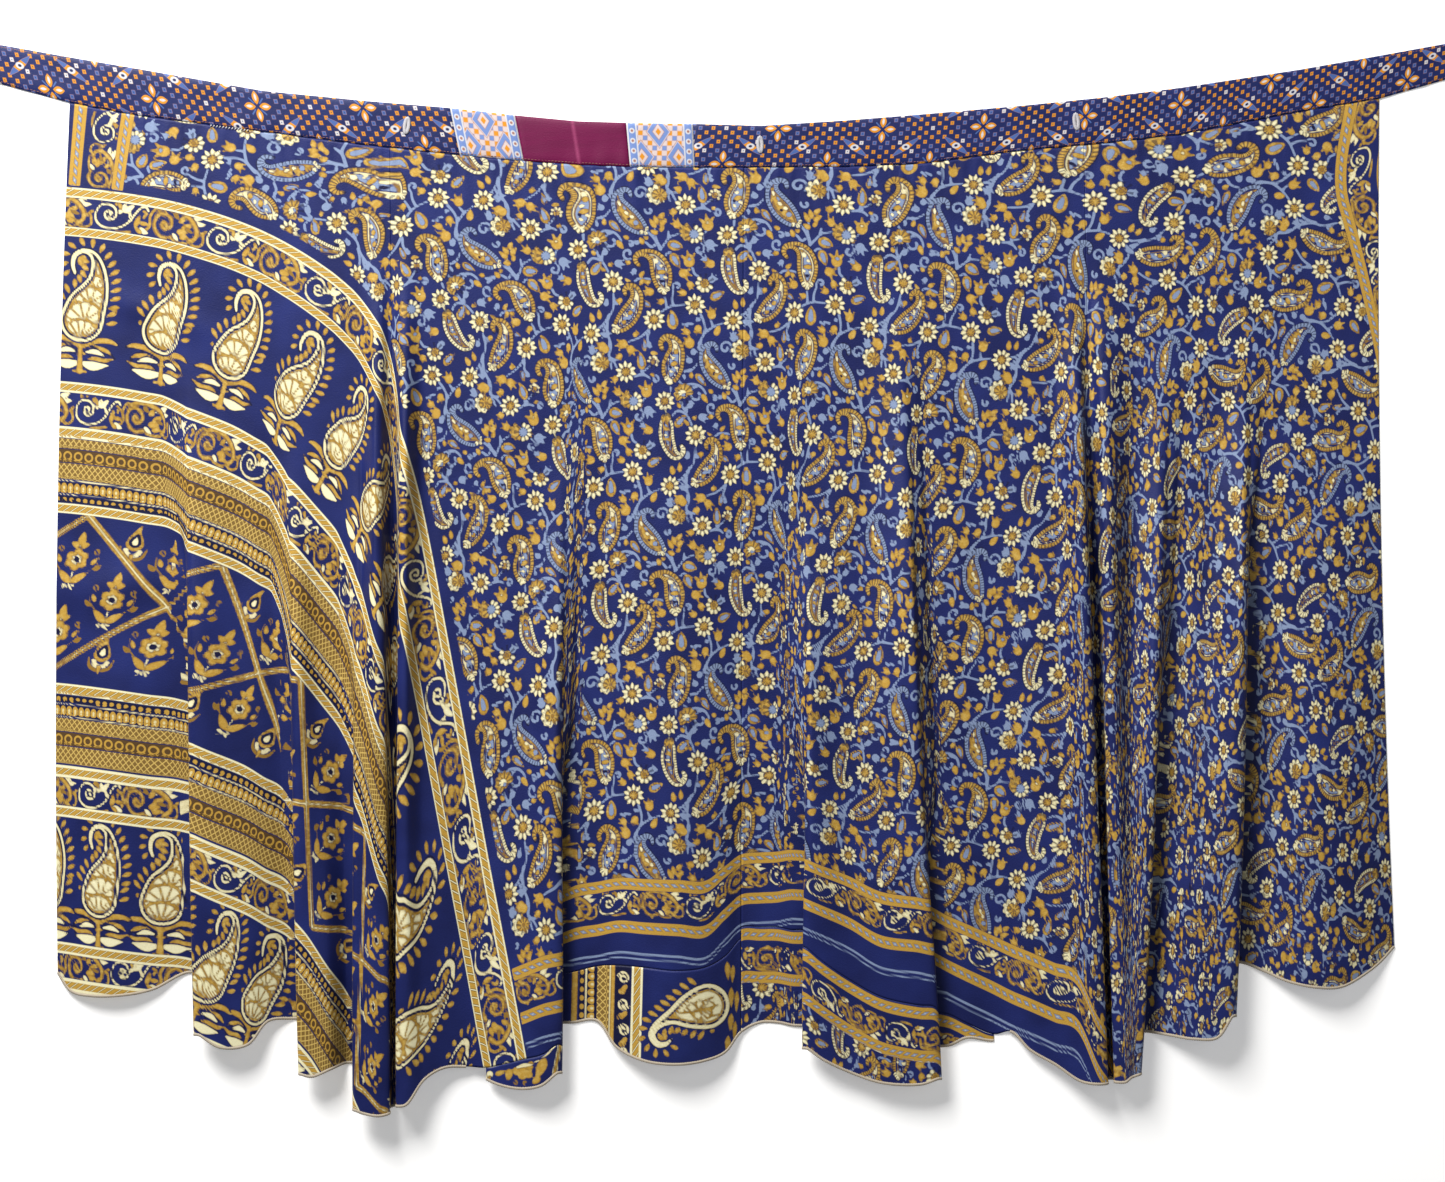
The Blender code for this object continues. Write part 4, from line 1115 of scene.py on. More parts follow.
def clothGrid(first, last, begin, end):
    # A fine grid of the cloth between two columns, from begin to end, its edges' levels at each
    # column: its points, unit normals, print places, and the fine columns that the back keeps
    rows = np.arange(first - 2, last + 3)
    inside = np.clip(rows, 0, len(drape.names) - 1)
    begin, end = (np.concatenate([edge[:1]] * 2 + [edge] + [edge[-1:]] * 2) for edge in (begin, end))
    length = ((end - begin) * drape.length[inside]).max()
    count = max(3, int(round(length / clothLook["spacing"])) + 1)
    level = begin[:, None] + np.linspace(0, 1, count) * (end - begin)[:, None]
    points = drape.points(inside, level)
    place = np.stack([
        np.stack([np.interp(level[i], printLevels, printPlaces[row, :, k]) for k in (0, 1)], -1)
        for i, row in enumerate(inside)
    ])
    values = np.concatenate([points, place, level[..., None]], axis=2)
    for i in np.flatnonzero(rows < 0)[::-1]:
        values[i] = 2 * values[i + 1] - values[i + 2]
    for i in np.flatnonzero(rows >= len(drape.names)):
        values[i] = 2 * values[i - 1] - values[i - 2]
    chord = np.linalg.norm(np.diff(values[..., :3], axis=0), axis=2)
    knots = np.sqrt(np.maximum(chord, 1e-3))
    gap, share, kept = [], [], []
    for i in range(2, len(rows) - 3):
        names = [drape.names[inside[i + k]] for k in (0, 1)]
        hidden = any(name.endswith(hiddenParts) for name in names)
        span = chord[i, 0] if hidden else chord[i].max()
        cuts = max(2, int(math.ceil(span / clothLook["spacing"])))
        kept += [len(gap) + k for k in range(0, cuts, 1 if hidden else clothLook["backStep"])]
        gap += [i] * cuts
        share += list(np.arange(cuts) / cuts)
    kept.append(len(gap))
    # One more sample past each side gives the normals of the edges
    gap = np.array([1] + gap + [len(rows) - 3] * 2)
    share = np.array([1 - 1 / cuts] + share + [0, 1 / cuts])
    fine = splineAcross(values, knots, gap, share)
    points = fine[..., :3]
    x, y = points[..., 0], points[..., 1]
    fromWaist = fine[..., 5] * clothLength
    pucker = np.sin(x * (2 * math.pi / clothLook["puckerPitch"]) + 1.7 * np.sin(x / 31))
    pucker *= clothLook["puckerHeight"] * np.exp(-fromWaist / clothLook["puckerReach"])
    relief = (dragHeight(x, y) + pucker) * smoothStep(fromWaist / 6)
    points[..., 2] = np.maximum(points[..., 2] + relief, 0.5 * clothWall - 0.1)
    across = points[2:] - points[:-2]
    down = np.gradient(points, axis=1)[1:-1]
    return points[1:-1], unit(np.cross(down, across)), fine[1:-1, :, 3:6], kept


def shellMesh(name, points, normal, kept, thickness):
    # A closed wall: the fine grid in front, its edge repeated behind it, and a back of a few
    # kept columns and rows; also each vertex's place in the front grid
    columns, rows = points.shape[:2]
    index = np.arange(columns * rows).reshape(columns, rows)
    keptRows = sorted(set(range(0, rows, clothLook["backStep"])) | {rows - 1})
    back = np.zeros((columns, rows), bool)
    back[np.ix_(kept, keptRows)] = True
    back[[0, -1], :] = True
    back[:, [0, -1]] = True
    source = np.concatenate([index.ravel(), index[back]])
    behind = np.full(columns * rows, -1)
    behind[index[back]] = columns * rows + np.arange(back.sum())
    behind = behind.reshape(columns, rows)
    front = (points + 0.5 * thickness * normal).reshape(-1, 3)
    rear = (points - 0.5 * thickness * normal).reshape(-1, 3)
    rear[:, 2] = np.maximum(rear[:, 2], 0.05)
    corners = np.concatenate([front, rear[index[back]]])
    quads = np.stack([index[:-1, :-1], index[:-1, 1:], index[1:, 1:], index[1:, :-1]], -1)
    faces = [quads.reshape(-1, 4)]
    for line in (index[:, 0], index[-1, :], index[::-1, -1], index[0, ::-1]):
        hidden = behind.ravel()[line]
        faces.append(np.stack([line[:-1], line[1:], hidden[1:], hidden[:-1]], -1))
    inner = np.ix_(kept[1:-1], keptRows[1:-1])
    if len(kept) > 3 and len(keptRows) > 3:
        grid = behind[inner]
        faces.append(np.stack(
            [grid[:-1, :-1], grid[1:, :-1], grid[1:, 1:], grid[:-1, 1:]], -1
        ).reshape(-1, 4))
    loose = []
    for i in range(len(kept) - 1):
        for j in range(len(keptRows) - 1):
            if 0 < i < len(kept) - 2 and 0 < j < len(keptRows) - 2:
                continue
            # A cell at the edge takes every edge point on its outer sides
            c0, c1, r0, r1 = kept[i], kept[i + 1], keptRows[j], keptRows[j + 1]
            walk = [(c, r0) for c in range(c0, c1)] + [(c1, r) for r in range(r0, r1)]
            walk += [(c, r1) for c in range(c1, c0, -1)] + [(c0, r) for r in range(r1, r0, -1)]
            loose.append([behind[c, r] for c, r in walk if behind[c, r] >= 0])
    sizes = np.concatenate([np.full(len(block), 4) for block in faces] + [[len(f) for f in loose]])
    loops = np.concatenate([block.ravel() for block in faces] + [np.array(sum(loose, []), int)])
    return meshObject(name, corners, loops, sizes.astype(int)), source


def addObject(name, data):
    # Data linked into the scene as an object at the origin
    obj = bpy.data.objects.new(name, data)
    scene.collection.objects.link(obj)
    return obj


def meshObject(name, corners, loops, sizes):
    # A mesh from corners in mm, a run of corner numbers and the number of corners of each face
    mesh = bpy.data.meshes.new(name)
    mesh.vertices.add(len(corners))
    mesh.vertices.foreach_set("co", (np.asarray(corners, float) * mm).astype(np.float32).ravel())
    mesh.loops.add(len(loops))
    mesh.loops.foreach_set("vertex_index", np.asarray(loops, np.int32))
    mesh.polygons.add(len(sizes))
    starts = np.concatenate([[0], np.cumsum(sizes)[:-1]]).astype(np.int32)
    mesh.polygons.foreach_set("loop_start", starts)
    mesh.polygons.foreach_set("use_smooth", np.ones(len(sizes), bool))
    mesh.update(calc_edges=True)
    return addObject(name, mesh)


def addVectors(mesh, name, values):
    # An attribute of three numbers at each vertex
    attribute = mesh.attributes.new(name, "FLOAT_VECTOR", "POINT")
    attribute.data.foreach_set("vector", np.asarray(values, np.float32).ravel())


# The inks' colours as seen on the cloth, and how it takes the light
inkColours = {
    "ground": (20, 28, 80), "groundLight": (30, 41, 104), "gold": (184, 145, 60),
    "goldLight": (204, 174, 96), "cream": (232, 226, 186), "bronze": (124, 97, 48),
    "straw": (212, 200, 152), "grey": (126, 142, 174), "ochre": (140, 106, 42),
    "dark": (16, 18, 52), "brown": (84, 62, 34),
}
clothShine = {
    "roughness": 0.5,
    "sheen": 0.03,
    "sheenRoughness": 0.4,
    "gloss": 0.22,
    "crepeSize": 1.3,  # mm
    "crepeDepth": 0.25,
    "crepeTone": 0.28,
    "inkEdge": 0.7,  # px over which an ink fades at its edge
}
edgeInks = {"gold": "ochre", "cream": "straw"}  # a darker tone runs round a shape's edge
# The bands' patterns in px: how far apart a pattern's shapes are and how large
patternLook = {
    "ropePitch": 9.5, "ropeCore": 3.3, "linkPitch": 8.8, "linkHalf": 3.1, "linkHigh": 2.5,
    "beadPitch": 8, "beadRadius": 3.7, "beadHeart": 1.3, "dotPitch": 8.6, "dotRadius": 1.9,
    "brocadePitch": 7, "brocadeLine": 0.7, "ringPitch": 13, "ringRadius": 4.3, "ringLine": 1.1,
}
# Attributes that carry the print, three of its layers each
printPacks = {
    "printA": ("gold", "cream", "grey"),
    "printB": ("ochre", "dark", "rope"),
    "printC": ("link", "bead", "dot"),
    "printD": ("brocade", "chain", "notch"),
    "printBand": ("along", "off", "plain"),
}


def tone(red, green, blue):
    # A colour as seen on a screen, 0 to 255, as linear light
    seen = np.array([red, green, blue]) / 255
    light = np.where(seen <= 0.04045, seen / 12.92, ((seen + 0.055) / 1.055) ** 2.4)
    return (*(float(value) for value in light), 1)


class Wire:
    # A number in a material: arithmetic on it adds Math nodes
    def __init__(self, paint, socket):
        self.paint, self.socket = paint, socket

    def then(self, operation, *others, clamp=False):
        values = enumerate((self, *others))
        made = self.paint.node("Math", values, operation=operation, use_clamp=clamp)
        return Wire(self.paint, made.outputs[0])

    __add__ = partialmethod(then, "ADD")
    __sub__ = partialmethod(then, "SUBTRACT")
    __mul__ = partialmethod(then, "MULTIPLY")
    size = partialmethod(then, "ABSOLUTE")
    least = partialmethod(then, "MINIMUM")
    most = partialmethod(then, "MAXIMUM")

    def fromNearest(self, pitch):
        # Distance to the nearest multiple of a pitch
        return self.then("PINGPONG", 0.5 * pitch)

    def cell(self, pitch):
        # The number of the pitch's cell whose middle is nearest
        return (self * (1 / pitch)).then("ROUND")

    def inCell(self, pitch):
        # Signed place in that cell
        return self - self.cell(pitch) * pitch

    def radius(self, other):
        return (self * self + other * other).then("SQRT")

    def over(self, limit):
        return (self - limit).then("GREATER_THAN", 0)

    def under(self, limit):
        return (self - limit).then("LESS_THAN", 0)

    def inside(self, soft=clothShine["inkEdge"]):
        # 1 where a signed distance is negative, fading over a soft edge
        return self.then("MULTIPLY_ADD", -1 / soft, 0.5, clamp=True)


class Paint:
    # A material whose colour is laid on coat by coat, in colours named in a table
    def __init__(self, name, colours, base, roughness=clothShine["roughness"]):
        self.tones = {ink: tone(*seen) for ink, seen in colours.items()}
        self.material = bpy.data.materials.new(name)
        self.material.use_nodes = True
        self.tree = self.material.node_tree
        self.shader = self.tree.nodes["Principled BSDF"]
        self.feed(self.shader, (
            ("Roughness", roughness), ("Sheen Weight", clothShine["sheen"]),
            ("Sheen Roughness", clothShine["sheenRoughness"]),
            ("Specular IOR Level", clothShine["gloss"]),
        ))
        self.colour = self.tones[base]

    def feed(self, node, values):
        # Gives inputs of a node their wires, sockets or fixed values
        for place, value in values:
            value = value.socket if isinstance(value, Wire) else value
            if isinstance(value, bpy.types.NodeSocket):
                self.tree.links.new(value, node.inputs[place])
            else:
                node.inputs[place].default_value = value

    def node(self, kind, values=(), **settings):
        made = self.tree.nodes.new("ShaderNode" + kind)
        for name, value in settings.items():
            setattr(made, name, value)
        self.feed(made, values)
        return made

    def split(self, name):
        # The three numbers of an attribute
        vector = self.node("Attribute", attribute_name=name).outputs["Vector"]
        return [Wire(self, output) for output in self.node("SeparateXYZ", [(0, vector)]).outputs]

    def objectPlace(self):
        return self.node("TexCoord").outputs["Object"]

    def noise(self, place, size, detail=2, stretch=None):
        # Noise about its middle value, from -0.5 to 0.5, with a size in the place's unit
        if stretch:
            place = self.node("VectorMath", [(0, place), (1, stretch)], operation="MULTIPLY").outputs[0]
        values = (("Scale", 1 / size), ("Detail", detail), ("Vector", place))
        return Wire(self, self.node("TexNoise", values).outputs["Fac"]) - 0.5

    def coat(self, mask, ink):
        # Lays a colour on where the mask is 1
        values = (("Factor", mask), (6, self.colour), (7, self.tones[ink]))
        self.colour = self.node("Mix", values, data_type="RGBA").outputs[2]

    def shaded(self, amount):
        # Multiplies the colour by 1 + amount
        colour = self.colour[:3] if isinstance(self.colour, tuple) else self.colour
        values = ((0, colour), ("Scale", amount + 1))
        self.colour = self.node("VectorMath", values, operation="SCALE").outputs[0]

    def bump(self, height, depth):
        values = (("Strength", 1), ("Distance", depth * mm), ("Height", height))
        self.feed(self.shader, [("Normal", self.node("Bump", values).outputs[0])])

    def done(self):
        self.feed(self.shader, [("Base Color", self.colour)])
        return self.material


def weave(paint, place, depth=0.2, amount=0.2):
    # Crepe: a fine grain in colour and in relief
    grain = paint.noise(place, clothShine["crepeSize"] * mm, 3)
    paint.shaded(grain * amount)
    paint.bump(grain, depth)


def sariMaterial():
    # The field's inks, then the bands' patterns, the paisleys' notches and the crepe's grain
    paint = Paint("sari_print", inkColours, "ground")
    wires = {}
    for pack, names in printPacks.items():
        wires.update(zip(names, paint.split(pack)))
    place = paint.objectPlace()
    soft = paint.noise(place, 0.05)
    paint.coat((soft * 2.2).then("ADD", 0.4, clamp=True), "groundLight")
    mask = {name: wires[name].inside() for name in inks}
    along, off = wires["along"], wires["off"]
    for name in ("gold", "cream", "grey", "ochre", "dark"):
        paint.coat(mask[name], edgeInks.get(name, name))
        if name in edgeInks:
            paint.coat((wires[name] + 0.8).inside(1.2), name)
        if name == "gold":
            glint = (paint.noise(place, 0.004) * 2.4 + 0.1).most(0)
            paint.coat(glint * mask["gold"], "goldLight")

    def fill(band, ground, *coats):
        # A band's ground, then the coats of its pattern on it
        paint.coat(mask[band], ground)
        for shape, ink in coats:
            paint.coat(shape * mask[band], ink)
    look = patternLook
    # A rope: gold strands parted by thin slanting lines, between two white cords
    core = (off.size() - look["ropeCore"]).inside() * mask["rope"]
    turn = (along + off * 1.6).fromNearest(look["ropePitch"])
    paint.coat(mask["rope"], "cream")
    paint.coat(core, "gold")
    paint.coat((turn - 1.5).inside(1) * core, "brown")
    paint.coat((turn - 0.65).inside(0.7) * core, "cream")
    # Links: slanting grey lozenges with a pale heart, outlined on gold
    link = (along - off * 1.1).fromNearest(look["linkPitch"]) - look["linkHalf"]
    link = link.most(off.size() - look["linkHigh"])
    fill("link", "gold", ((link + 0.3).inside(), "ochre"), ((link + 0.9).inside(), "grey"),
         ((link + 2.3).inside(), "cream"))
    bead = along.fromNearest(look["beadPitch"]).radius(off * 0.8)
    fill("bead", "dark", ((bead - look["beadRadius"]).inside(), "gold"),
         ((bead - look["beadHeart"]).inside(), "straw"))
    oval = (along.fromNearest(look["dotPitch"]) * 0.7).radius(off)
    fill("dot", "dark", ((oval - look["dotRadius"]).inside(), "gold"))
    slant, other = (value.fromNearest(look["brocadePitch"]) for value in (along + off, along - off))
    fill("brocade", "bronze", ((slant.least(other) - look["brocadeLine"]).inside(), "goldLight"))
    ring = along.fromNearest(look["ringPitch"]).radius(off * 1.15) - look["ringRadius"]
    fill("chain", "brown", ((ring.size() - look["ringLine"]).inside(), "gold"))
    notch = (along.fromNearest(notchPitch) - 0.62).inside(0.5) * wires["notch"].inside()
    paint.coat(notch * 0.65, "dark")
    weave(paint, place, clothShine["crepeDepth"], clothShine["crepeTone"])
    return paint.done()


def paintPanel(mesh, points, place, source):
    # The print's inks at every front point, handed on to the back
    cloth = paintSari(place[..., 0].ravel(), place[..., 1].ravel())
    storePrint(mesh, cloth, source)


def storePrint(mesh, cloth, source):
    # The print's layers as attributes, three to each
    layers = dict(cloth.ink, notch=cloth.notch, along=cloth.along, off=cloth.off)
    layers["plain"] = np.zeros(cloth.u.shape)
    for pack, names in printPacks.items():
        addVectors(mesh, pack, np.stack([layers[name][source] for name in names], axis=1))


clothMaterial = sariMaterial()
# The waistband's cloths. Its dotted print is a lattice of flowers, each in a lozenge of dots
dotLook = {
    "flowerPitch": 103,
    "rowPitch": 72,
    "cells": 8,  # dots from flower to flower
    "dotHalf": 1.75,
    "dotHole": 0.55,
    "spindle": (16, 3),  # half its length and half its width
    # A petal and its heart: ink, how far out its middle is, half its length, half its width
    "petals": (("orange", 7.6, 5.8, 3.2), ("white", 8, 3.4, 1.2)),
}
bandColours = {
    "navy": (17, 27, 76), "navyLight": (24, 37, 92), "orange": (202, 132, 26),
    "white": (192, 192, 196), "blue": (66, 92, 150), "blush": (196, 180, 178),
    # The paler maroon is the painted highlight along the maroon band's tuck line
    "lilac": (104, 128, 182), "maroon": (98, 6, 60), "maroonTuckHighlight": (156, 66, 108),
    "thread": (176, 174, 178), "beige": (178, 166, 148), "rust": (150, 104, 92),
}
threadRoughness = 0.7
latticeLook = {
    "middle": (31.5, 8.5),  # of one lozenge, in px from the patch's top left corner
    "half": 18.3,
    "high": 24.5,
    "chequer": 4.9,
    "squareHalf": 2.25,
    "edgeWide": 10.2,
    "stripeMiddle": 5.2,  # from the patch's edge
    "stripeHalf": 3.6,
    "ringPitch": 9.8,
    # A lozenge's rings from the outside, each with its share of the half width
    "lozenge": ((0.68, "rust"), (0.65, "blush"), (0.6, "lilac"), (0.34, "rust"), (0.31, "blush"),
                (0.15, "orange")),
}


def dottedMaterial():
    # u right and v down from a flower: whole numbers of first = u/w + v/h and second = u/w - v/h
    # are dots; every cells-th row of them is shared by two lozenges
    paint = Paint("dotted_print", bandColours, "navy")
    place = paint.objectPlace()
    paint.coat((paint.noise(place, 0.03) * 2).then("ADD", 0.4, clamp=True), "navyLight")
    right, down, _ = paint.split("bandPlace")
    cells = dotLook["cells"]
    wide, high = dotLook["flowerPitch"] / cells, dotLook["rowPitch"] / cells
    first = (right * (1 / wide) + down * (1 / high)).inCell(cells)
    second = (right * (1 / wide) - down * (1 / high)).inCell(cells)
    x, y = (first + second) * (0.5 * wide), (first - second) * (0.5 * high)
    firstCell, secondCell = first.cell(1).size(), second.cell(1).size()
    ring, other = firstCell.most(secondCell), firstCell.least(secondCell)
    firstLeft, secondLeft = first.inCell(1), second.inCell(1)
    dotX, dotY = (firstLeft + secondLeft) * (0.5 * wide), (firstLeft - secondLeft) * (0.5 * high)
    square = dotX.size().most(dotY.size())
    onEdge = ring.over(3.5) * other.under(1.5)
    shown = ring.over(1.5) - onEdge
    dot = (square - dotLook["dotHalf"]).inside() * shown
    paint.coat(dot, "orange")
    paint.coat(dot * ring.under(2.5), "blue")
    corner = (ring - other).under(0.5) * ring.over(3.5)
    middle = (ring - 3).size().then("LESS_THAN", 0.5) * other.under(0.5)
    paint.coat(dot * corner.most(middle), "white")
    paint.coat(dot * (square - dotLook["dotHole"]).inside(0.5) * 0.8, "navy")
    # Spindles lie along the shared rows, midway between two flowers
    spindleLong, spindleHalf = dotLook["spindle"]
    long = 0.5 * math.hypot(wide, high)
    thick = wide * high / (2 * long) * 0.5
    for across, along in ((first, second), (second, first)):
        side = (across.size() - 0.5 * cells) * (2 * thick)
        way = along * long
        body = (side.size() + (way * way) * (spindleHalf / spindleLong**2) - spindleHalf).inside()
        paint.coat(body, "orange")
        paint.coat(body * (way.size() * -1 + 5.5).inside(), "blue")
        knot = way.radius(side)
        paint.coat((knot - 3.4).inside(), "white")
        paint.coat((knot - 1.5).inside(), "navy")
    # Four pointed petals, each with a pale heart, and sprigs between them
    sprig = (x.size() - y.size()).size() - 0.9
    reach = x.radius(y)
    paint.coat(sprig.most((reach - 6.8).size() - 3.2).inside(), "blue")
    for along, across in ((x, y), (y, x)):
        for ink, middle, half, thick in dotLook["petals"]:
            out = (along.size() - middle) * (1 / half)
            paint.coat((across.size() + out * out * thick - thick).inside(), ink)
    paint.coat((reach - 1.1).inside(), "navy")
    weave(paint, place)
    return paint.done()


def latticeMaterial():
    # u px from the patch's left cut and v px down from its top edge; a striped edge with rings
    # at each side of a lattice of lozenges, which is parted by a chequer of small squares
    paint = Paint("lattice_print", bandColours, "blush")
    place = paint.objectPlace()
    right, down, wide = paint.split("bandPlace")
    chequer = latticeLook["chequer"]
    across = (right - latticeLook["middle"][0]) * (1 / latticeLook["half"])
    along = (down - latticeLook["middle"][1]) * (1 / latticeLook["high"])
    first, second = across + along, across - along
    lozenge = first.inCell(2).size().most(second.inCell(2).size())
    slant = right + down * 0.12
    square = slant.inCell(chequer).size().most(down.inCell(chequer).size())
    dot = (square - latticeLook["squareHalf"]).inside()
    odd = (slant.cell(chequer) + down.cell(chequer)).then("PINGPONG", 1)
    turn = down.cell(chequer).then("PINGPONG", 1)
    paint.coat(dot * odd, "orange")
    paint.coat(dot * odd * turn, "lilac")
    paint.coat(((square - 2.35).size() - 0.15).inside() * 0.3, "rust")
    for edge, name in latticeLook["lozenge"]:
        paint.coat((lozenge - edge).inside(0.05), name)
    stripe = latticeLook["stripeMiddle"]
    for near in (right, wide - right):
        paint.coat((near - latticeLook["edgeWide"]).inside(), "white")
        paint.coat(((near - stripe).size() - latticeLook["stripeHalf"]).inside(), "lilac")
        ring = (near - stripe).radius((down + 2).inCell(latticeLook["ringPitch"]))
        paint.coat((ring - 2.7).inside(), "white")
        paint.coat((ring - 1.3).inside(), "rust")
    weave(paint, place, 0.15, 0.14)
    return paint.done()


def maroonMaterial():
    # Plain crepe with painted shade and light of soft creases along it, and a painted highlight along one
    # tuck line across it
    paint = Paint("maroon_crepe", bandColours, "maroon")
    place = paint.objectPlace()
    right, down, _ = paint.split("bandPlace")
    # The tuck line is a painted highlight: a paler maroon stripe where light would catch its ridge
    tuck = (right + down * 0.042 - 57.3).size()
    paint.coat((tuck - 1.6).inside(2.4) * 0.5, "maroonTuckHighlight")
    # Painted shade and light of soft creases: noise stretched along the band darkens and lightens the
    # colour
    paint.shaded(paint.noise(place, 0.006, 3, stretch=(0.12, 1, 1)) * 0.5)
    weave(paint, place, 0.22, 0.22)
    return paint.done()


def threadMaterial(name, ink):
    # Twisted thread: painted light and shade of its turns, a fraction of a millimetre apart, with the
    # same noise raised as bumps
    paint = Paint(name, bandColours, ink, threadRoughness)
    place = paint.objectPlace()
    strand = paint.noise(place, 0.0007, 2)
    # Painted light and shade of the thread's turns
    paint.shaded(strand * 0.7)
    paint.bump(strand, 0.12)
    return paint.done()


def stripLevels(points):
    # The columns of a hem strip, and the level of the seam at each
    at = [drape.names.index(column) for column, _ in points]
    share = [(drape.yWaist[i] - y) / drape.length[i] for i, (_, y) in zip(at, points)]
    rows = np.arange(at[0], at[-1] + 1)
    return rows, np.interp(rows, at, share)


def paintStrip(draw):
    # A strip's own print, from photo pixels, the print's run along it and px below its seam
    def paint(mesh, points, place, source):
        step = np.linalg.norm(np.diff(points, axis=1), axis=2) / pixelMm
        below = np.concatenate([np.zeros((len(points), 1)), np.cumsum(step, axis=1)], axis=1)
        cloth = Print(*(pixel.ravel() for pixel in photoPixels(points)))
        draw(cloth, place[..., 0].ravel(), below.ravel())
        storePrint(mesh, cloth, source)
    return paint


def clothPiece(name, rows, begin, end, paint, material, hems):
    # One panel or strip; where it ends at the hem, its edge is kept for the overlocking
    points, normal, place, kept = clothGrid(rows[0], rows[-1], begin, end)
    piece, source = shellMesh(name, points, normal, kept, clothLook["thickness"])
    paint(piece.data, points, place, source)
    piece.data.materials.append(material)
    free = place[:, -1, 2] > 0.9995
    ends = np.flatnonzero(np.diff(np.concatenate([[0], free.astype(int), [0]])))
    for first, last in zip(ends[::2], ends[1::2]):
        if last - first > 4:
            hems.append((points[first:last, -1], normal[first:last, -1]))
    return piece


def makeSkirt():
    # Every panel with its hem strips; returns the pieces and their hem edges
    made, hems = {}, []
    for panelName, (first, last, strips) in panels.items():
        rows = np.arange(drape.names.index(first), drape.names.index(last) + 1)
        end = np.ones(len(rows))
        for strip in strips:
            stripRows, seam = stripLevels(hemSeams[strip])
            end[stripRows - rows[0]] = seam
        made[panelName] = clothPiece(
            panelName, rows, np.zeros(len(rows)), end, paintPanel, clothMaterial, hems
        )
        for strip in strips:
            stripRows, seam = stripLevels(hemSeams[strip])
            made[strip] = clothPiece(
                strip, stripRows, seam, np.ones(len(seam)), paintStrip(stripPaints[strip]),
                clothMaterial, hems,
            )
        print(panelName, "made")
    return made, hems


bandLook = {
    "thickness": 2.5,
    "edge": 1,  # thickness of its folded edges
    "spacing": 2,
    "rippleHeight": 0.28,
}
# One row of flowers of the dotted print in px, and the print's slant and height there
leftShape, rightShape = (-0.28, 0.86), (0.12, 1)
leftFlowers = ((52, 90), (155, 100), (258, 107), (363, 108))
rightFlowers = (
    (778.5, 129), (882.5, 130), (983, 127), (1085, 117), (1180, 105),
    (1271, 80), (1364, 56),
)
# Each length of the band: (x of its left cut at the top and bottom edge, and of its right one)
bandEnds = ((bandEdges[0][0],) * 2, *bandCuts.values(), (bandEdges[-1][0],) * 2)
bandLengths = dict(zip((*bandCuts, "band_right"), zip(bandEnds, bandEnds[1:])))


def dottedPlaces(x, y, flowers, shape):
    # Print places from flower to flower: pitches counted along the row, and px below it
    knots = np.array(flowers)
    count = np.arange(len(knots), dtype=float)
    for end, inner in ((0, 1), (-1, -2)):
        step = 20 * (knots[end] - knots[inner])
        extra = (knots[end] + step)[None]
        knots = np.concatenate([extra, knots] if end == 0 else [knots, extra])
        last = np.array([count[end] + 20 * (count[end] - count[inner])])
        count = np.concatenate([last, count] if end == 0 else [count, last])
    along = np.interp(x, knots[:, 0], count) * dotLook["flowerPitch"]
    below = y - np.interp(x, knots[:, 0], knots[:, 1])
    return along + shape[0] * below, shape[1] * below


def bandThick(share):
    # Its two layers are as thick as a flattened tube: t = edge + (full - edge) (1 - |2s - 1|^6)^1/2
    full, edge = bandLook["thickness"], bandLook["edge"]
    return edge + (full - edge) * np.sqrt(np.maximum(1 - np.abs(2 * share - 1) ** 6, 0))


def bandGrid(left, right):
    # Rows run from the folded top edge to the sewn bottom one, between two slanting cuts
    share = np.linspace(0.11, 0.89, 19)
    share = np.concatenate([[0, 0.012, 0.035, 0.07], share, [0.93, 0.965, 0.988, 1]])
    count = int(round((max(right) - min(left)) / bandLook["spacing"])) + 1
    along = np.linspace(0, 1, count)[:, None]
    topX, bottomX = (a + (b - a) * along for a, b in zip(left, right))
    topY, bottomY = bandY(topX, 1), bandY(bottomX, 2)
    x, y = topX + (bottomX - topX) * share, topY + (bottomY - topY) * share
    ripple = np.sin(x / 4.7 + 1.3 * np.sin(x / 19) + 2 * share) * share**2
    ripple += 0.7 * np.sin(x / 31 + 4 * share) * np.sin(math.pi * share)
    ends = np.zeros_like(x)
    for cut in (left, right):
        at = cut[0] + (cut[1] - cut[0]) * share
        if cut not in (bandEnds[0], bandEnds[-1]):
            ends += np.exp(-(((x - at) / 2.4) ** 2))
    thick = bandThick(share) + bandLook["rippleHeight"] * ripple * (1 - ends) - 0.8 * ends
    thick = np.maximum(thick, 0.5)
    points = np.dstack([x, y, 0.05 + 0.5 * thick])
    return points, np.broadcast_to(thick[..., None], (*x.shape, 1)), share


def makeBand():
    # Its five lengths, each with the print places of its own cloth
    made = {}
    materials = {
        "band": dottedMaterial(), "lattice": latticeMaterial(), "band_middle": maroonMaterial(),
    }
    for name, (left, right) in bandLengths.items():
        points, thick, share = bandGrid(left, right)
        kept = sorted(set(range(0, len(points), 5)) | {len(points) - 1})
        piece, source = shellMesh(name, points, upright(points), kept, thick)
        x, y = photoPixels(points)
        low = np.broadcast_to(share * 43, x.shape)
        kind = name if name in materials else name.split("_")[0]
        if kind == "band":
            shape = (leftFlowers, leftShape) if name == "band_left" else (rightFlowers, rightShape)
            place = (*dottedPlaces(x, y, *shape), low)
        else:
            start = left[0] + (left[1] - left[0]) * share
            wide = (right[0] + (right[1] - right[0]) * share - start) / pixelMm
            place = ((points[..., 0] - start) / pixelMm, low, np.broadcast_to(wide, x.shape))
        addVectors(piece.data, "bandPlace", np.stack(place, axis=2).reshape(-1, 3)[source])
        piece.data.materials.append(materials[kind])
        made[name] = piece
        print(name, "made")
    return made


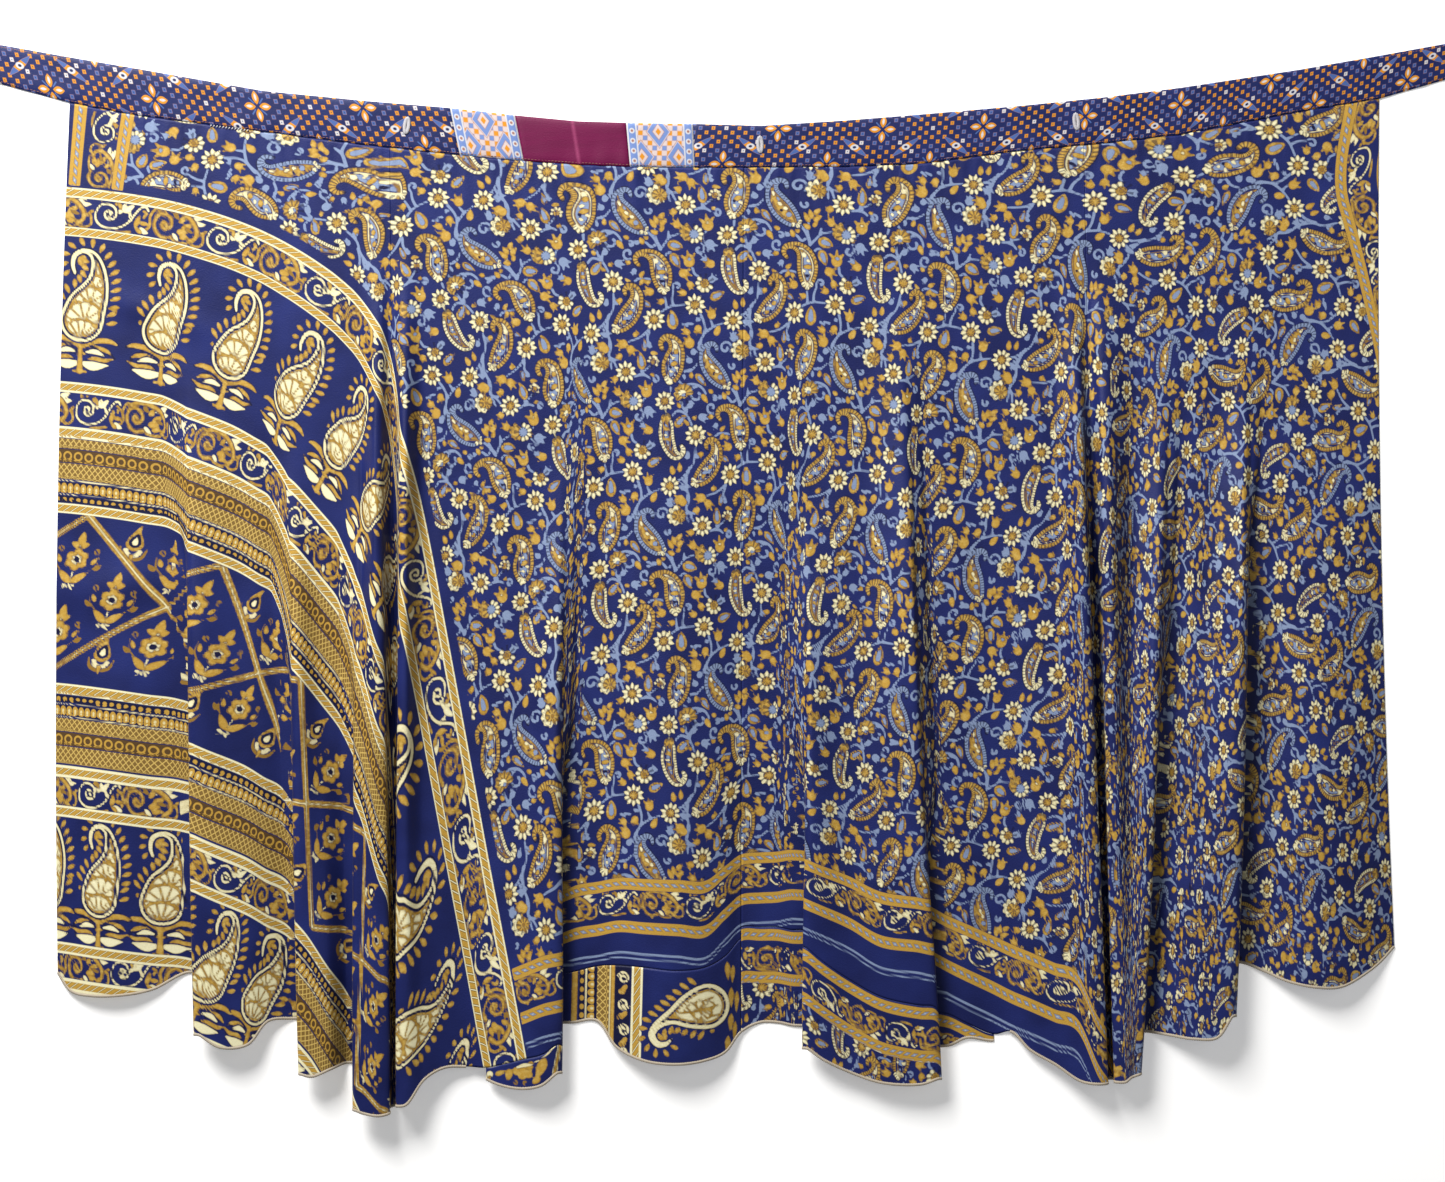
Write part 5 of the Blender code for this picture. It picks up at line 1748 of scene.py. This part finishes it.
# What a user would change about the sewing: mm
threadLook = {
    # Each row of stitches: its share of the band's depth, and its first and last x
    "seams": ((0.955, -645, 641), (0.06, -1238, -640), (0.94, -1238, -648), (0.06, 645, 1238),
              (0.94, 645, 1238)),
    "mending": (2.6, 2.2, 0.55, 62),  # pitch, length, radius, lean in degrees
    "mendingSpan": (-503, -463),
    "mendingDrop": 0.6,
    "mendingHeight": 1.9,
    "overlockWide": 1.5,
    "overlockHigh": 0.75,
    "overlockPitch": 1.7,
    "overlockStep": 0.42,
    "stitchPitch": 3.3,
    "stitchLong": 2.4,
    "stitchRadius": 0.27,
    "holeWide": 1.9,
    "holeLong": 7,
    "holeThread": 1.8,
    "holeHigh": 0.7,
    "holeTurns": 44,
}
buttonholes = ((407, 126, -8), (760, 145, 2), (1076, 122, 6))  # x, y in px, lean


def evenPath(path, carried, step):
    # A path and what it carries, taken again at even steps along its way
    way = wayAlong(path)
    at = np.linspace(0, way[-1], max(4, int(way[-1] / step)))
    return [np.stack([np.interp(at, way, v[:, k]) for k in range(3)], 1) for v in (path, carried)]


def tubePart(path, up, wide, high, pitch, rib, sides=7, closed=False):
    # Rings of an oval section about a path, their size swelling in turns:
    # 1 + rib cos(2 pi way / pitch + angle)
    out = unit(np.cross(unit(np.gradient(path, axis=0)), up))
    way = wayAlong(path)
    angle = np.linspace(0, 2 * math.pi, sides, endpoint=False)
    size = 1 + rib * np.cos(2 * math.pi * way[:, None] / pitch + angle)
    if not closed:
        size[[0, -1]] *= 0.4
    rings = path[:, None] + (size * np.cos(angle) * wide)[..., None] * out[:, None]
    rings = rings + (size * np.sin(angle) * high)[..., None] * up[:, None]
    index = np.arange(len(path) * sides).reshape(len(path), sides)
    following = np.roll(index, -1, axis=1)
    quads = np.stack([index[:-1], index[1:], following[1:], following[:-1]], -1).reshape(-1, 4)
    if closed:
        last = np.stack([index[-1], index[0], following[0], following[-1]], -1)
        return rings.reshape(-1, 3), np.concatenate([quads, last])
    # Each open end is closed by a fan of quads folded onto its first point
    caps = []
    for ring, way in ((index[0], 1), (index[-1], -1)):
        ring = ring[::-way]
        caps += [(ring[0], ring[k], ring[k + 1], ring[k + 2]) for k in range(1, sides - 2, 2)]
    return rings.reshape(-1, 3), np.concatenate([quads, np.array(caps)])


def joinParts(name, parts, material):
    # Many closed parts as one object
    starts = np.cumsum([0] + [len(corners) for corners, _ in parts[:-1]])
    corners = np.concatenate([part[0] for part in parts])
    corners[:, 2] = np.maximum(corners[:, 2], 0.03)
    faces = np.concatenate([part[1] + start for part, start in zip(parts, starts)])
    obj = meshObject(name, corners, faces.ravel(), np.full(len(faces), 4))
    obj.data.materials.append(material)
    return obj


def stitchParts(path, up, pitch, long, radius, lean=0):
    # Short threads in a row, each arched into the cloth at both ends
    place, normal = evenPath(path, up, pitch)
    ahead = unit(np.gradient(place, axis=0))
    turn = math.radians(lean)
    side = np.cross(normal, ahead)
    ahead = ahead * math.cos(turn) + side * math.sin(turn)
    parts = []
    shares = np.array([-1, -0.8, 0, 0.8, 1])
    for middle, step, rise in zip(place, ahead, normal):
        line = middle + shares[:, None] * 0.5 * long * step - (shares**2)[:, None] * radius * rise
        parts.append(tubePart(line, np.tile(rise, (5, 1)), radius, radius, 50, 0, 6))
    return parts


def overlockHems(hems, material):
    # Thread wound over the raw hem edge, following it round every fold
    parts = []
    for path, normal in hems:
        path, normal = evenPath(path, normal, threadLook["overlockStep"])
        parts.append(tubePart(
            path + 0.1 * normal, normal, threadLook["overlockWide"], threadLook["overlockHigh"],
            threadLook["overlockPitch"], 0.2,
        ))
    return joinParts("hem_overlock", parts, material)


def bandLine(share, first, last):
    # A path on the face of the waistband at a share of its depth, between two x
    x = np.arange(first, last, 4)
    top, bottom = bandY(x, 1), bandY(x, 2)
    high = bandThick(share) + 0.12
    path = np.stack([x, top + (bottom - top) * share, np.full(len(x), high)], axis=1)
    return path, upright(path)


def makeSewing():
    # Stitches along the waist seam and round the ties' ends, and bound buttonholes
    look = threadLook
    parts = []
    for share, first, last in look["seams"]:
        path, up = bandLine(share, first, last)
        parts += stitchParts(path, up, look["stitchPitch"], look["stitchLong"], look["stitchRadius"])
    seam = joinParts("waist_stitches", parts, threadMaterial("rust_thread", "rust"))
    path, up = bandLine(1, *look["mendingSpan"])
    path[:, 1] -= look["mendingDrop"]
    path[:, 2] = look["mendingHeight"]
    mend = stitchParts(path, up, *look["mending"])
    mend = joinParts("mending_stitches", mend, threadMaterial("white_thread", "white"))
    bound = []
    for x, y, lean in buttonholes:
        angle = np.linspace(0, 2 * math.pi, 160, endpoint=False)
        turn = math.radians(lean)
        right, up = look["holeWide"] * np.cos(angle), look["holeLong"] * np.sin(angle)
        middleX, middleY = photoPlace(x, y)
        path = np.stack([
            middleX + right * math.cos(turn) - up * math.sin(turn),
            middleY + right * math.sin(turn) + up * math.cos(turn),
            np.full(len(angle), bandLook["thickness"] + 0.15),
        ], axis=1)
        pitch = wayAlong(path)[-1] / look["holeTurns"]
        bound.append(tubePart(
            path, upright(path), look["holeThread"], look["holeHigh"], pitch, 0.16, 8, closed=True
        ))
    holes = joinParts("buttonholes", bound, threadMaterial("grey_thread", "thread"))
    return seam, mend, holes


# What a user would change about the picture
pictureLook = {
    "frameCentre": (722.5, 591),  # photo pixels
    "frameWidth": 1445,
    "cameraHeight": 2.6,
    "lensWidth": 36,
    "floorSize": 9,
    "floorTone": (0.98, 0.98, 0.98, 1),
    "floorGlow": 0.3,
    "room": 0.12,
    # Each light: its place, what it aims at, its size in metres, watts and colour
    "lights": {
        "key": ((-1.25, 2.2, 1.65), (0, 0.1, 0), 1.4, 182, (1, 0.985, 0.96)),
        "fill": ((1.8, 0.6, 3), (0, 0, 0), 2.4, 12, (0.95, 0.97, 1)),
    },
}
white = (1, 1, 1, 1)


def makeCamera():
    # Straight down on the middle of the photograph's frame, wide enough for its width
    x, y = photoPlace(*pictureLook["frameCentre"])
    camera = bpy.data.cameras.new("camera")
    camera.sensor_width = pictureLook["lensWidth"]
    width = pictureLook["frameWidth"] * pixelMm * mm
    camera.lens = pictureLook["lensWidth"] * pictureLook["cameraHeight"] / width
    scene.camera = addObject("camera", camera)
    scene.camera.location = (x * mm, y * mm, pictureLook["cameraHeight"])


def areaLight(name, place, aim, size, watts, colour):
    # A square light that faces a point
    light = bpy.data.lights.new(name, "AREA")
    light.shape = "RECTANGLE"
    light.size = light.size_y = size
    light.energy = watts
    light.color = colour
    obj = addObject(name, light)
    obj.location = place
    toward = mathutils.Vector(np.subtract(aim, place))
    obj.rotation_mode = "QUATERNION"
    obj.rotation_quaternion = toward.to_track_quat("-Z", "Y")


def makeStage():
    # A pale floor that gives off a little light, a soft room and two area lights
    half = pictureLook["floorSize"] / 2
    corners = [(-half, -half, 0), (half, -half, 0), (half, half, 0), (-half, half, 0)]
    mesh = bpy.data.meshes.new("floor")
    mesh.from_pydata(corners, [], [(0, 1, 2, 3)])
    material = bpy.data.materials.new("paleFloor")
    material.use_nodes = True
    inputs = material.node_tree.nodes["Principled BSDF"].inputs
    inputs["Base Color"].default_value = pictureLook["floorTone"]
    inputs["Roughness"].default_value = 0.9
    inputs["Emission Color"].default_value = white
    inputs["Emission Strength"].default_value = pictureLook["floorGlow"]
    mesh.materials.append(material)
    addObject("floor", mesh)
    scene.view_settings.view_transform = "Standard"
    world = bpy.data.worlds.new("softRoom")
    world.use_nodes = True
    world.node_tree.nodes["Background"].inputs["Color"].default_value = white
    world.node_tree.nodes["Background"].inputs["Strength"].default_value = pictureLook["room"]
    scene.world = world
    for name, light in pictureLook["lights"].items():
        areaLight(name, *light)


def declareSheets(made, sewing):
    # Every piece lies on the surface, joins the root body and hides its part; the sewing joins the root
    # body too, and the piece that holds its start is not used
    for name, piece in made.items():
        piece.name = name + "_cloth"
        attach(piece, "root")
        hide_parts(name)
    for thread, carrier in sewing:
        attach(thread, "root")


makeCamera()
makeStage()
made, hems = makeSkirt()
made.update(makeBand())
hem = overlockHems(hems, threadMaterial("beige_thread", "beige"))
seam, mend, holes = makeSewing()
print("sewing made")
declareSheets(made, (
    (hem, "skirt_left"), (seam, "band_left"), (mend, "skirt_centre_left"), (holes, "band_right"),
))
